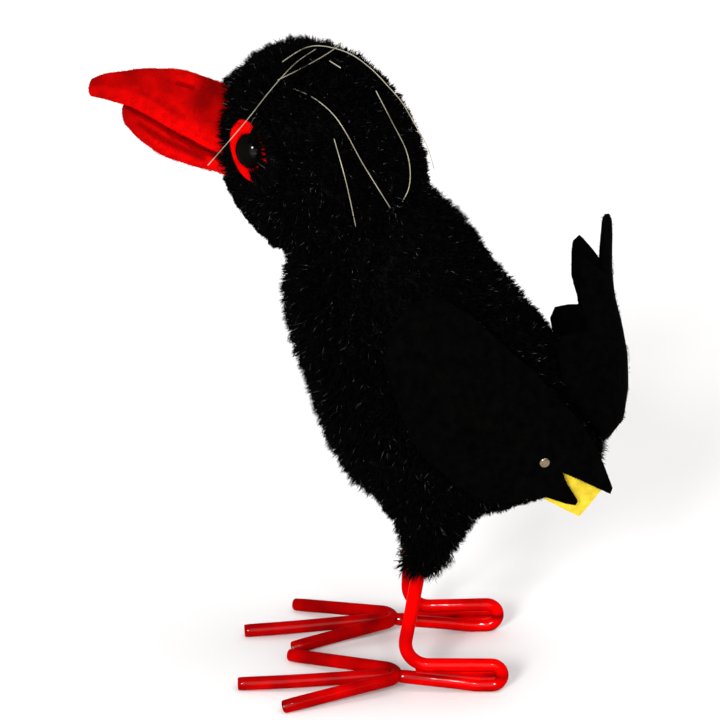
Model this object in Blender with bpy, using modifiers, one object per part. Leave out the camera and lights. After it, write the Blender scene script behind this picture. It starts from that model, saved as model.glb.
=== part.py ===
"""A stuffed raven toy of pile cloth and felt, standing on wire legs in red plastic sleeves.

Metres, +Z up.  The bird faces -Y and its left side is +X.  The design numbers below are in
millimetres and are scaled by MM where a mesh is made.
"""

import math

import bmesh
import bpy
from mathutils import Matrix, Vector

MM = 0.001

# Cloth, felt and clearances, in millimetres.
PILE = 2.5
CLOTH = 1.2
FELT = 1.3
GAP = 0.3
RUNNING_FIT = 0.1

# Oval sections as (front y, front z, back y, back z, half width), pile included.
TORSO = (
    (-20.0, 113.7, 16.6, 129.3, 19.9),
    (-19.7, 108.0, 26.5, 119.5, 22.5),
    (-19.9, 100.0, 34.5, 108.0, 25.5),
    (-18.0, 90.0, 43.0, 97.5, 27.5),
    (-14.2, 78.5, 51.5, 87.0, 28.5),
    (-10.5, 66.5, 57.5, 75.0, 28.0),
    (-4.5, 54.5, 61.0, 63.0, 26.0),
    (4.5, 47.0, 59.5, 55.0, 21.0),
    (14.0, 43.9, 53.5, 49.8, 14.0),
    (22.5, 42.9, 45.0, 46.5, 8.0),
)
HEAD = (
    (-20.0, 113.7, 16.6, 129.3, 19.9),
    (-27.0, 116.6, 16.8, 133.0, 22.0),
    (-32.8, 124.5, 15.5, 139.5, 23.2),
    (-36.2, 133.0, 13.8, 145.0, 23.2),
    (-37.0, 142.0, 10.5, 150.5, 22.0),
    (-36.2, 150.6, 6.0, 156.0, 19.5),
    (-32.0, 157.4, -0.5, 160.9, 15.5),
    (-25.5, 162.8, -8.5, 164.8, 9.0),
)
# Each thigh is a cone from inside the torso down to the leg: the same section numbers,
# around a centre line at (x at the top, x at the bottom).
THIGH = (
    (-3.0, 64.0, 38.0, 64.0, 13.0),
    (2.0, 52.5, 33.5, 52.5, 10.5),
    (6.6, 45.6, 29.0, 45.6, 8.8),
    (9.2, 39.0, 24.0, 39.0, 7.0),
    (9.2, 34.0, 20.0, 34.0, 5.4),
)
THIGH_X = (13.5, 16.8)
# The beak's sections run from inside the head to the tip: (top y, z, bottom y, z, half width).
# The upper half is widest near its lower edge, and the lower half near its upper edge.
UPPER_BEAK = (
    (-26.0, 151.8, -26.0, 136.5, 10.0),
    (-36.0, 155.4, -36.0, 139.2, 9.6),
    (-43.5, 158.1, -43.5, 142.7, 8.6),
    (-50.0, 158.7, -50.0, 146.4, 7.2),
    (-57.0, 158.3, -57.0, 149.9, 5.4),
    (-62.5, 157.6, -62.5, 151.3, 4.0),
    (-66.0, 156.4, -66.0, 152.0, 2.8),
)
LOWER_BEAK = (
    (-26.0, 135.6, -26.0, 130.1, 8.6),
    (-36.0, 138.6, -36.0, 132.9, 8.3),
    (-43.5, 142.2, -43.5, 134.9, 7.8),
    (-50.0, 145.8, -50.0, 137.3, 6.4),
    (-55.5, 148.5, -55.5, 141.3, 4.8),
    (-58.0, 149.5, -58.0, 144.2, 3.1),
)
UPPER_WIDEST = 0.12
LOWER_WIDEST = 0.88
BEAK_EDGE = 1.7

# The disc joint between head and torso.
NECK_CENTRE = Vector((0.0, -1.7, 121.5))
NECK_UP = Vector((0.0, -0.392, 0.920)).normalized()
NECK_DISC_RADIUS = 14.0
NECK_DISC_THICKNESS = 2.0
NECK_WASHER_RADIUS = 5.0
NECK_WASHER_THICKNESS = 0.8
NECK_PIN_RADIUS = 1.1
NECK_HOLE_RADIUS = NECK_PIN_RADIUS + RUNNING_FIT
NECK_FACE = 0.2
NECK_POCKET = 9.6
NECK_POCKET_RADIUS = 30.0
# The split pin: how far it runs past the washers, its eye, and its two bent legs as (out, down).
PIN_BELOW = 1.4
PIN_ABOVE = 1.6
PIN_EYE_RISE = 2.3
PIN_EYE_HALF = (2.0, 1.3)
PIN_EYE_WIRE = 0.6
PIN_LEG_WIRE = 0.55
PIN_LEGS = ((-4.2, 0.9), (-2.4, 1.4), (0.0, 0.9), (2.4, 1.4), (4.2, 0.9))

# Legs: wires in soft sleeves.  A foot is one wire, bent back to a heel and forward to the
# middle toe, and a second one bent to a V for the two side toes.  The V's sleeve lies across
# the first wire, which runs through it.
SLEEVE_RADIUS = 1.75
SLEEVE_WALL = 0.5
LEG_WIRE_RADIUS = 0.5
TOE_WIRE_RADIUS = 0.35
SOLE_FLAT = 0.15
REST_Z = SLEEVE_RADIUS - SOLE_FLAT
CROSSING_ROOM = 0.25
WEB_THICKNESS = 1.2
WEB_BITE = 0.3
WEB_AHEAD = 3.0
WEB_START_Z = 3.4
CHANNEL_ROOM = 0.4
LEG_TOP = 40.0
ANKLE_BEND = 6.0
V_BEND = 4.0
V_POINT_Y = 14.0
TOE_START = 3.85
CROSSING_Z = 4.2
LEG_WIRE_RISE = 0.5
TOE_WIRE_DIP = 0.5
# The wire's height under the foot and along the middle toe, as (y, z).
SOLE_RISE = ((29.0, REST_Z), (23.0, 2.4), (17.0, 3.1))
SOLE_END_Z = 4.0
TOE_START_Z = 4.1
TOE_FALL = ((0.0, 3.7), (-8.0, 3.1), (-16.0, 2.5), (-24.0, 2.0))
FEET = {
    "left": {
        "side": 1,
        "hip": (14.0, 20.5, 68.0),
        "knee": (16.8, 15.4),
        "ankle": 10.8,
        "strand": 7.15,
        "heel": (18.8, 32.8),
        "middle": (18.2, -32.0),
        "outer": (31.4, -20.0),
        "inner": (0.9, -19.2),
    },
    "right": {
        "side": -1,
        "hip": (-14.0, 17.0, 68.0),
        "knee": (-16.3, 13.2),
        "ankle": 12.0,
        "strand": 7.6,
        "heel": (-17.9, 33.1),
        "middle": (-14.2, -31.6),
        "outer": (-31.4, -18.6),
        "inner": (-3.6, -18.5),
    },
}

# Eyes: a felt ring and a glass dome on each side of the head.
EYE_PLACE = Vector((15.4, -27.2, 142.1))
EYE_OUTWARD = Vector((0.73, -0.68, 0.05)).normalized()
EYE_TALL = Vector((-0.40, -0.32, 0.86)).normalized()
EYE_RADIUS = 4.1
EYE_HEIGHT = 2.7
EYE_RING_HALF = (7.9, 5.7)
EYE_RING_THICKNESS = 1.1
SHANK_RADIUS = 0.45
SHANK_LENGTH = 9.0
SHANK_HOOK = ((0, 0), (0, -4), (0, -7.5), (0.8, -SHANK_LENGTH), (1.8, -8.4), (2.1, -7))
SHANK_ROOM_RADIUS = 3.2
SHANK_ROOM_DEPTH = SHANK_LENGTH + 1.2

# A wing lies along the flank.  Its outline is in columns (across, start, end), where the
# second and third numbers are measured from the wing's middle towards its fingers.
WING_MIDDLE = (30.0, 80.0)
WING_ALONG = Vector((0.0, 0.737, -0.676)).normalized()
WING_ACROSS = Vector((0.0, 0.676, 0.737)).normalized()
WING_X = 29.8
WING_BOW_ALONG = 0.0046
WING_BOW_ACROSS = 0.0095
WING_CREST = -2.0
WING_ROWS = 9
WING_COLUMNS = (
    (-19.5, -1.0, 8.0),
    (-18.0, -8.0, 18.0),
    (-14.0, -16.0, 21.5),
    (-10.0, -23.0, 24.5),
    (-7.0, -27.0, 27.5),
    (-5.4, -28.6, 32.5),
    (-4.2, -29.4, 34.8),
    (-3.0, -30.0, 34.4),
    (-1.2, -30.6, 29.0),
    (0.6, -31.0, 25.4),
    (1.8, -31.2, 31.0),
    (3.4, -31.4, 39.6),
    (5.0, -31.4, 38.8),
    (8.0, -31.0, 33.0),
    (11.0, -29.5, 26.5),
    (13.5, -26.0, 16.5),
    (15.0, -19.0, 2.0),
)
WING_SEAM = -32.0
WING_THICKNESS = 1.6

# The rivet and the tag behind the left wing, placed on the wing by (along, across).
BUTTON_ON_WING = (19.5, 0.0)
BUTTON_RADIUS = 1.3
BUTTON_SHANK_RADIUS = 0.7
BUTTON_BACK_RADIUS = 1.7
BUTTON_BACK_THICKNESS = 0.5
BUTTON_DOME = ((0, 0.7), (0.7, 0.6), (1.1, 0.35), (BUTTON_RADIUS, 0.15), (BUTTON_RADIUS, 0.0))
TAG_THICKNESS = 0.3
TAG_ENDS = (-2.6, 19.2)
TAG_EDGES = (-9.4, 1.8)
TAG_TURN = math.radians(7)

# The tail: a felt trough, open to the front.  Fingers as (angle round the trough, top z).
TAIL_HALF_WIDTH = 12.0
TAIL_DEPTH = 17.0
TAIL_THICKNESS = 2.0
TAIL_FOOT_Z = 62.5
TAIL_EDGE_Z = 80.0
TAIL_ROWS = 8
TAIL_SPINE = (
    (62.5, 61.3),
    (68.5, 65.6),
    (76.6, 66.5),
    (86.0, 65.9),
    (94.0, 64.2),
    (100.6, 62.3),
    (107.2, 61.5),
    (115.0, 61.3),
    (121.5, 61.0),
)
TAIL_FINGERS = (
    (0, 121.5),
    (9, 121.3),
    (16, 120.2),
    (20, 116.0),
    (24, 108.6),
    (31, 108.6),
    (43, 111.2),
    (53, 113.4),
    (58, 112.0),
    (60.5, 94.6),
    (72, 94.3),
    (84, 93.4),
    (90, 90.4),
)

# Loose nylon strands on the head, as hand-placed routes.
STRAND_RADIUS = 0.25
STRANDS = (
    ((17.5, -37.5, 139.0), (19.5, -28.3, 150.2), (16.0, -22.0, 157.5), (11.0, -16.5, 162.5),
     (6.0, -11.5, 165.0)),
    ((2.5, -5.5, 165.4), (7.0, -9.0, 163.9), (12.0, -14.4, 161.9), (15.6, -20.5, 159.6)),
    ((9.5, -19.6, 162.6), (7.0, -14.3, 165.4), (5.5, -9.6, 165.6), (5.5, -3.4, 163.8),
     (6.0, 1.8, 160.2), (6.5, 6.1, 155.8), (7.0, 9.4, 152.0), (7.0, 12.6, 146.5),
     (6.5, 15.6, 141.0), (6.0, 17.4, 135.0)),
    ((15.0, -16.8, 157.4), (17.5, -12.0, 155.8), (19.8, -7.5, 152.6), (21.2, -4.2, 148.2),
     (21.8, -0.1, 140.6), (18.6, 6.6, 128.6)),
    ((22.4, -7.0, 147.0), (23.4, -4.2, 136.8), (20.8, -1.8, 124.6)),
    ((12.0, 3.0, 156.2), (14.2, 6.9, 149.0), (15.0, 10.2, 142.5), (15.4, 11.3, 137.4),
     (15.6, 11.0, 132.8), (15.6, 9.4, 129.4)),
    ((10.6, -8.2, 163.2), (11.4, -5.4, 161.6)),
)

SEGMENTS = 20
LIMB_SEGMENTS = 14
STUFFED_RINGS = 11


def clear_scene():
    for thing in list(bpy.data.objects):
        bpy.data.objects.remove(thing, do_unlink=True)


def new_collection(name, hidden=False):
    made = bpy.data.collections.new(name)
    made.hide_render = hidden
    bpy.context.scene.collection.children.link(made)
    return made


def new_material(name, colour, roughness, metallic=0.0):
    made = bpy.data.materials.new(name)
    made.use_nodes = True
    shader = made.node_tree.nodes["Principled BSDF"]
    shader.inputs["Base Color"].default_value = (*colour, 1.0)
    shader.inputs["Roughness"].default_value = roughness
    shader.inputs["Metallic"].default_value = metallic
    return made


clear_scene()
BIRD = new_collection("raven_toy")
CUTTERS = new_collection("cutters", hidden=True)
BLACK_PILE = new_material("black_pile_cloth", (0.012, 0.012, 0.013), 0.9)
BLACK_FELT = new_material("black_felt", (0.014, 0.013, 0.013), 0.95)
RED_FELT = new_material("red_felt", (0.72, 0.02, 0.015), 0.9)
RED_SLEEVE = new_material("red_plastic_sleeve", (0.6, 0.008, 0.006), 0.15)
STUFFING = new_material("stuffing", (0.62, 0.5, 0.33), 0.95)
STEEL = new_material("steel", (0.55, 0.55, 0.56), 0.35, 1.0)
BRASS = new_material("brass", (0.78, 0.58, 0.26), 0.25, 1.0)
BOARD = new_material("hardboard", (0.36, 0.24, 0.14), 0.8)
BLACK_GLASS = new_material("black_glass", (0.01, 0.01, 0.01), 0.05)
YELLOW_TAG = new_material("yellow_tag", (0.92, 0.72, 0.05), 0.7)
NYLON = new_material("nylon", (0.62, 0.6, 0.45), 0.4)


def finish_mesh(name, mesh, material, home=None):
    """An object from a mesh built in millimetres, in metres and shaded smooth."""
    mesh.transform(Matrix.Scale(MM, 4))
    mesh.materials.append(material)
    mesh.shade_smooth()
    thing = bpy.data.objects.new(name, mesh)
    home = home or BIRD
    home.objects.link(thing)
    if home is CUTTERS:
        thing.hide_render = True
        thing.display_type = "WIRE"
    return thing


def from_bmesh(name, shape, material, home=None):
    mesh = bpy.data.meshes.new(name)
    bmesh.ops.recalc_face_normals(shape, faces=shape.faces)
    shape.to_mesh(mesh)
    shape.free()
    return finish_mesh(name, mesh, material, home)


def cut(thing, *cutters, operation="DIFFERENCE"):
    for cutter in cutters:
        modifier = thing.modifiers.new(cutter.name, "BOOLEAN")
        modifier.operation = operation
        modifier.object = cutter


def curve_through(rows, count):
    """Evenly spaced points on a smooth curve through rows of numbers."""
    rows = [rows[0], *rows, rows[-1]]
    spans = len(rows) - 3
    found = []
    for step in range(count):
        place = step * spans / (count - 1)
        i = min(int(place), spans - 1)
        t = place - i
        found.append(
            tuple(
                0.5 * (2 * b + (c - a) * t + (2 * a - 5 * b + 4 * c - d) * t**2
                       + (3 * b - 3 * c + d - a) * t**3)
                for a, b, c, d in zip(*rows[i:i + 4])
            )
        )
    return found


def loft(name, rings, material, home=None, inset=0.0):
    """A closed tube through rings of equally many points, with flat ends, drawn in all round."""
    shape = bmesh.new()
    loops = [[shape.verts.new(point) for point in ring] for ring in rings]
    for low, high in zip(loops, loops[1:]):
        for i in range(len(low)):
            j = (i + 1) % len(low)
            shape.faces.new((low[i], low[j], high[j], high[i]))
    shape.faces.new(loops[0])
    shape.faces.new(loops[-1])
    bmesh.ops.recalc_face_normals(shape, faces=shape.faces)
    shape.normal_update()
    moves = [vert.normal * vert.calc_shell_factor() * inset for vert in shape.verts]
    for vert, move in zip(shape.verts, moves):
        vert.co -= move
    return from_bmesh(name, shape, material, home)


def section(row, x=0.0, segments=SEGMENTS):
    """One oval section: the row's front and back points, and its half width, less the pile."""
    front = Vector((x, row[0], row[1]))
    back = Vector((x, row[2], row[3]))
    middle = (front + back) / 2
    half = (back - front) / 2
    depth = half.normalized() * (half.length - PILE)
    width = Vector((row[4] - PILE, 0, 0))
    turns = [2 * math.pi * i / segments for i in range(segments)]
    return [middle + depth * math.cos(t) + width * math.sin(t) for t in turns]


def moved(ring, shift):
    return [point + shift for point in ring]


def stuffed(name, rows, inset, material, home=None):
    """A torso or head from its sections: it starts flat at the neck and ends rounded."""
    rings = [section(row) for row in curve_through(rows, STUFFED_RINGS)]
    up = NECK_UP if rows is HEAD else -NECK_UP
    rings[0] = moved(rings[0], up * NECK_FACE)
    return loft(name, rings, material, home, inset)


def frame_at(place, outward, along=Vector((1, 0, 0))):
    """A matrix, in millimetres, at a place, whose Z is outward and whose X is nearest along."""
    side = outward.cross(along).normalized()
    spin = Matrix((side.cross(outward), side, outward)).transposed().to_4x4()
    return Matrix.Translation(place) @ spin


def turned(name, profile, material, place, steps=20, home=None, closed=False):
    """A turned piece: (radius, height) points from the top down its outer side."""
    mesh = bpy.data.meshes.new(name)
    edges = [(i, i + 1) for i in range(len(profile) - 1)]
    if closed:
        edges.append((len(profile) - 1, 0))
    mesh.from_pydata([(r * MM, 0, z * MM) for r, z in profile], edges, [])
    mesh.materials.append(material)
    thing = bpy.data.objects.new(name, mesh)
    (home or BIRD).objects.link(thing)
    if home is CUTTERS:
        thing.hide_render = True
        thing.display_type = "WIRE"
    spin = thing.modifiers.new("turn", "SCREW")
    spin.steps = spin.render_steps = steps
    spin.use_merge_vertices = True
    spin.merge_threshold = 0.00001
    spin.use_smooth_shade = True
    seat = place.copy()
    seat.translation *= MM
    thing.matrix_world = seat
    return thing


def washer(name, inner, outer, low, high, material, place):
    ring = ((inner, high), (outer, high), (outer, low), (inner, low))
    return turned(name, ring, material, place, closed=True)


def rod(name, radius, low, high, place, home=None, steps=16):
    profile = ((0, high), (radius, high), (radius, low), (0, low))
    return turned(name, profile, STEEL, place, steps, home or CUTTERS)


def wire(name, points, radius, material, home=None, sides=1, hollow=0.0):
    """A tube along hand-placed points; a hollow one is open at both ends."""
    curve = bpy.data.curves.new(name, "CURVE")
    curve.dimensions = "3D"
    curve.bevel_depth = radius * MM
    curve.bevel_resolution = sides
    curve.use_fill_caps = not hollow
    spline = curve.splines.new("POLY")
    spline.points.add(len(points) - 1)
    for knot, point in zip(spline.points, points):
        knot.co = (*(Vector(point) * MM), 1.0)
    draft = bpy.data.objects.new(name + "_route", curve)
    BIRD.objects.link(draft)
    bpy.context.view_layer.update()
    graph = bpy.context.evaluated_depsgraph_get()
    mesh = bpy.data.meshes.new_from_object(draft.evaluated_get(graph))
    bpy.data.objects.remove(draft)
    shape = bmesh.new()
    shape.from_mesh(mesh)
    bmesh.ops.remove_doubles(shape, verts=shape.verts, dist=1e-6)
    bmesh.ops.scale(shape, vec=(1 / MM,) * 3, verts=shape.verts)
    bpy.data.meshes.remove(mesh)
    made = from_bmesh(name, shape, material, home)
    if hollow:
        wall = made.modifiers.new("wall", "SOLIDIFY")
        wall.thickness = hollow * MM
        wall.offset = -1.0
    return made


def arc(centre, radius, start, end, steps):
    """Points (across, up) on an arc, with its angles in degrees."""
    found = []
    for i in range(steps + 1):
        turn = math.radians(start + (end - start) * i / steps)
        found.append((centre[0] + radius * math.cos(turn), centre[1] + radius * math.sin(turn)))
    return found


def sheet(name, columns, thickness, material):
    """A felt sheet from columns of equally many points, with its thickness on both sides."""
    shape = bmesh.new()
    grid = [[shape.verts.new(point) for point in column] for column in columns]
    for left, right in zip(grid, grid[1:]):
        for i in range(len(left) - 1):
            shape.faces.new((left[i], right[i], right[i + 1], left[i + 1]))
    made = from_bmesh(name, shape, material)
    wall = made.modifiers.new("thickness", "SOLIDIFY")
    wall.thickness = thickness * MM
    wall.offset = 0.0
    return made


def neck_frame():
    return frame_at(NECK_CENTRE, NECK_UP)


def build_neck():
    """Two boards with washers, held by a split pin that runs through both covers."""
    place = neck_frame()
    inner = NECK_FACE + CLOTH + GAP
    outer = inner + NECK_DISC_THICKNESS
    far = outer + GAP
    end = far + NECK_WASHER_THICKNESS
    hole = NECK_HOLE_RADIUS
    washer("head_neck_disc", hole, NECK_DISC_RADIUS, inner, outer, BOARD, place)
    washer("head_neck_washer", hole, NECK_WASHER_RADIUS, far, end, STEEL, place)
    washer("body_neck_disc", hole, NECK_DISC_RADIUS, -outer, -inner, BOARD, place)
    washer("body_neck_washer", hole, NECK_WASHER_RADIUS, -end, -far, STEEL, place)
    pin = rod("neck_split_pin", NECK_PIN_RADIUS, -end - PIN_BELOW, end + PIN_ABOVE, place, BIRD)
    wide, tall = PIN_EYE_HALF
    turns = [2 * math.pi * i / 16 for i in range(16)]
    ring = [(wide * math.cos(t), end + PIN_EYE_RISE + tall * math.sin(t)) for t in turns]
    bent = [(x, -end - drop) for x, drop in PIN_LEGS]
    loop = wire("pin_eye", [place @ Vector((x, 0, z)) for x, z in ring], PIN_EYE_WIRE, STEEL,
                CUTTERS)
    legs = wire("pin_legs", [place @ Vector((x, 0, z)) for x, z in bent], PIN_LEG_WIRE, STEEL,
                CUTTERS)
    cut(pin, loop, legs, operation="UNION")


def build_body(leg_channels, pin_hole):
    cover = stuffed("body_cover", TORSO, 0.0, BLACK_PILE)
    hollow = stuffed("body_hollow", TORSO, CLOTH, STUFFING, CUTTERS)
    filling = stuffed("body_stuffing", TORSO, CLOTH + GAP, STUFFING)
    pocket = rod("body_neck_pocket", NECK_POCKET_RADIUS, -NECK_POCKET, 12.0, neck_frame())
    cut(cover, hollow, pin_hole, *leg_channels)
    cut(filling, pocket, *leg_channels)


def build_head(pin_hole):
    cover = stuffed("head_cover", HEAD, 0.0, BLACK_PILE)
    hollow = stuffed("head_hollow", HEAD, CLOTH, STUFFING, CUTTERS)
    filling = stuffed("head_stuffing", HEAD, CLOTH + GAP, STUFFING)
    pocket = rod("head_neck_pocket", NECK_POCKET_RADIUS, -12.0, NECK_POCKET, neck_frame())
    cut(cover, hollow, pin_hole)
    cut(filling, pocket)
    for side, name in ((1, "left"), (-1, "right")):
        build_eye(name, side, cover, filling)


def build_eye(name, side, cover, filling):
    flip = Vector((side, 1, 1))
    place = frame_at(EYE_PLACE * flip, EYE_OUTWARD * flip, EYE_TALL * flip)
    build_eye_ring(name + "_eye_ring", place)
    height, radius = EYE_HEIGHT, EYE_RADIUS
    dome = [(radius * math.sin(t), height * math.cos(t))
            for t in [math.pi / 2 * i / 7 for i in range(8)]]
    lift = place @ Matrix.Translation((0, 0, GAP))
    turned(name + "_eye", [*dome, (0, 0)], BLACK_GLASS, lift)
    route = [place @ Vector((x, 0, z)) for x, z in SHANK_HOOK]
    wire(name + "_eye_shank", route, SHANK_RADIUS, STEEL)
    hole = rod(name + "_eye_hole", SHANK_RADIUS + GAP, -6.0, 2.0, place, steps=12)
    room = rod(name + "_eye_room", SHANK_ROOM_RADIUS, -SHANK_ROOM_DEPTH, 2.0, place, steps=12)
    cut(cover, hole)
    cut(filling, room)


def build_eye_ring(name, place):
    curve = bpy.data.curves.new(name, "CURVE")
    curve.dimensions = "2D"
    curve.fill_mode = "BOTH"
    curve.extrude = EYE_RING_THICKNESS / 2 * MM
    hole = EYE_RADIUS + GAP
    for tall, wide, points in ((*EYE_RING_HALF, 24), (hole, hole, 20)):
        spline = curve.splines.new("POLY")
        spline.points.add(points - 1)
        spline.use_cyclic_u = True
        for i in range(points):
            t = 2 * math.pi * i / points
            spline.points[i].co = (tall * math.cos(t) * MM, wide * math.sin(t) * MM, 0, 1)
    curve.materials.append(RED_FELT)
    thing = bpy.data.objects.new(name, curve)
    BIRD.objects.link(thing)
    seat = place @ Matrix.Translation((0, 0, EYE_RING_THICKNESS / 2))
    seat.translation *= MM
    thing.matrix_world = seat


def beak_ring(row, widest, inset):
    """A section that is widest at a share of its height, drawn in by an inset."""
    top, bottom = Vector((0, row[0], row[1] - inset)), Vector((0, row[2], row[3] + inset))
    half_width = row[4] - inset * BEAK_EDGE
    level = bottom.lerp(top, widest)
    ring = []
    for i in range(LIMB_SEGMENTS):
        t = 2 * math.pi * i / LIMB_SEGMENTS
        reach = (top if math.cos(t) > 0 else bottom) - level
        ring.append(level + reach * abs(math.cos(t)) + Vector((half_width * math.sin(t), 0, 0)))
    return ring


def beak_loft(name, rows, widest, inset, material, home=None):
    """A beak half: its sections, with a small last one that rounds the tip.

    What is inside it stops short of the tip, and its first section is past the felt's.
    """
    rows = curve_through(rows, 9)
    if inset:
        rows = rows[:-2]
    else:
        end = rows[-1]
        rows.append((end[0] - 1.3, end[1] - 0.9, end[2] - 1.3, end[3] + 0.8, end[4] - 1.2))
    rings = [beak_ring(row, widest, inset) for row in rows]
    rings[0] = moved(rings[0], Vector((0, 2 * inset, 0)))
    return loft(name, rings, material, home)


def build_beak(head_space):
    halves = (("upper_beak", UPPER_BEAK, UPPER_WIDEST), ("lower_beak", LOWER_BEAK, LOWER_WIDEST))
    for name, rows, widest in halves:
        felt = beak_loft(name + "_felt", rows, widest, 0.0, RED_FELT)
        hollow = beak_loft(name + "_hollow", rows, widest, FELT, RED_FELT, CUTTERS)
        filling = beak_loft(name + "_stuffing", rows, widest, FELT + GAP, STUFFING)
        cut(felt, hollow, head_space)
        cut(filling, head_space)


def foot_x(foot, y):
    """The foot's main wire runs straight, seen from above, from heel to middle toe."""
    (heel_x, heel_y), (toe_x, toe_y) = foot["heel"], foot["middle"]
    return heel_x + (toe_x - heel_x) * (heel_y - y) / (heel_y - toe_y)


def leg_route(foot):
    """Down the leg, back to the heel and round under it, to where the V's sleeve crosses."""
    strand = foot["strand"]
    centre = (foot["ankle"] + ANKLE_BEND, strand + ANKLE_BEND)
    knee_x, knee_y = foot["knee"]
    lean = math.degrees(math.atan2(knee_y - foot["ankle"], LEG_TOP - centre[1]))
    bend = arc(centre, ANKLE_BEND, 180 - lean, 270, 6)
    heel_y = foot["heel"][1]
    turn = (strand - REST_Z) / 2
    loop = arc((heel_y, REST_Z + turn), turn, 90, -90, 8)
    back = v_bend(foot)[1].y + SLEEVE_RADIUS + GAP
    sole = [*SOLE_RISE, (back, SOLE_END_Z)]
    knee = Vector((knee_x, knee_y, LEG_TOP))
    ankle = Vector((foot_x(foot, bend[0][0]), *bend[0]))
    down = [tuple(knee.lerp(ankle, share)) for share in (0.0, 0.35, 0.7)]
    return [*down, *[(foot_x(foot, y), y, z) for y, z in [*bend, *loop, *sole]]]


def heel_web(name, foot):
    """The plastic that fills the slot inside the heel's loop and joins its two runs."""
    reach = SLEEVE_RADIUS - WEB_BITE
    strand = foot["strand"]
    turn = (strand - REST_Z) / 2
    start = foot["ankle"] + WEB_AHEAD
    steepest = 270 - math.degrees(math.acos(1 - (ANKLE_BEND - WEB_AHEAD) / ANKLE_BEND))
    below = [(start, WEB_START_Z), *SOLE_RISE[::-1]]
    nose = arc((foot["heel"][1], REST_Z + turn), turn - reach, -90, 90, 6)
    above = arc((foot["ankle"] + ANKLE_BEND, strand + ANKLE_BEND), ANKLE_BEND + reach, 270,
                steepest, 4)
    outline = [*[(y, z + reach) for y, z in below], *nose, *above]
    shape = bmesh.new()
    near, far = (
        [shape.verts.new((foot_x(foot, y) + side * WEB_THICKNESS / 2, y, z)) for y, z in outline]
        for side in (1, -1)
    )
    shape.faces.new(near)
    shape.faces.new(far[::-1])
    for i in range(len(outline)):
        j = (i + 1) % len(outline)
        shape.faces.new((near[i], far[i], far[j], near[j]))
    return from_bmesh(name, shape, RED_SLEEVE, CUTTERS)


def toe_route(foot):
    """The middle toe, from the V's sleeve to the tip."""
    start = v_bend(foot)[1].y - TOE_START
    fall = [(start, TOE_START_Z), *TOE_FALL, (foot["middle"][1], REST_Z)]
    return [(foot_x(foot, y), y, z) for y, z in fall]


def v_bend(foot):
    """The V's rounded point, from above: its points, the one furthest back and the ends."""
    point = Vector((foot_x(foot, V_POINT_Y), V_POINT_Y))
    arms = [(Vector(foot[key]) - point).normalized() for key in ("outer", "inner")]
    half = arms[0].angle(arms[1]) / 2
    middle = point + (arms[0] + arms[1]).normalized() * (V_BEND / math.sin(half))
    ends = [point + arm * (V_BEND / math.tan(half)) for arm in arms]
    spokes = [(end - middle).normalized() for end in ends]
    bend = [middle + spokes[0].slerp(spokes[1], i / 8) * V_BEND for i in range(9)]
    return bend, bend[4]


def v_route(foot):
    """The V of the two side toes, which rises from its tips to the crossing."""
    bend, _ = v_bend(foot)
    outer = [Vector(foot["outer"]).lerp(bend[0], i / 4) for i in range(4)]
    inner = [bend[-1].lerp(Vector(foot["inner"]), i / 4) for i in range(1, 5)]
    rise = [i / 4 for i in range(4)]
    shares = [*rise, *[1.0] * len(bend), *reversed(rise)]
    route = [*outer, *bend, *inner]
    return [(p.x, p.y, REST_Z + (CROSSING_Z - REST_Z) * share) for p, share in zip(route, shares)]


def leg_wire_route(foot):
    """Through the stuffing, the leg's sleeve, the V's sleeve and the middle toe's sleeve."""
    leg, toe = leg_route(foot), toe_route(foot)
    hip = Vector(foot["hip"])
    rise = [tuple(hip.lerp(Vector(leg[0]), share)) for share in (0.0, 0.5)]
    crossing = v_bend(foot)[1].y
    over = CROSSING_Z + LEG_WIRE_RISE
    level = [(foot_x(foot, y), y, over) for y in (crossing + 2.6, crossing, crossing - 2.6)]
    return [*rise, *leg[:-1], *level, *toe[1:]]


def v_wire_route(foot):
    """Along the V's middle, and a little lower where the leg's wire crosses over it."""
    dip = TOE_WIRE_DIP / (CROSSING_Z - REST_Z)
    return [(x, y, z - dip * (z - REST_Z)) for x, y, z in v_route(foot)]


def build_leg(name, foot, floor):
    crossing = v_bend(foot)[1].y
    over = CROSSING_Z + LEG_WIRE_RISE
    run = [(foot_x(foot, y), y, over) for y in (crossing + 3.0, crossing - 3.0)]
    hole = wire(f"{name}_foot_hole", run, LEG_WIRE_RADIUS + CROSSING_ROOM, STEEL, CUTTERS)
    sleeves = (
        ("leg_sleeve", leg_route(foot), [floor]),
        ("middle_toe_sleeve", toe_route(foot), [floor]),
        ("side_toe_sleeve", v_route(foot), [floor, hole]),
    )
    for piece, route, cutters in sleeves:
        sleeve = wire(f"{name}_{piece}", route, SLEEVE_RADIUS, RED_SLEEVE, sides=3,
                      hollow=SLEEVE_WALL)
        if piece == "leg_sleeve":
            cut(sleeve, heel_web(f"{name}_heel_web", foot), operation="UNION")
        cut(sleeve, *cutters)
    wire(f"{name}_leg_wire", leg_wire_route(foot), LEG_WIRE_RADIUS, STEEL)
    wire(f"{name}_side_toe_wire", v_wire_route(foot), TOE_WIRE_RADIUS, STEEL)


def leg_channel(name, foot):
    """The room that a leg's wire and sleeve need inside the thigh and the torso."""
    route = leg_route(foot)
    hip = Vector(foot["hip"])
    top = Vector(route[0])
    rise = (hip - top).normalized()
    thin = wire(f"{name}_wire_channel", [hip + rise * 0.6, top, route[1]],
                LEG_WIRE_RADIUS + CHANNEL_ROOM, STEEL, CUTTERS)
    wide = wire(f"{name}_sleeve_channel", [top + rise * 0.5, top, route[1], route[2]],
                SLEEVE_RADIUS + CHANNEL_ROOM, STEEL, CUTTERS, sides=3)
    return thin, wide


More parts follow.
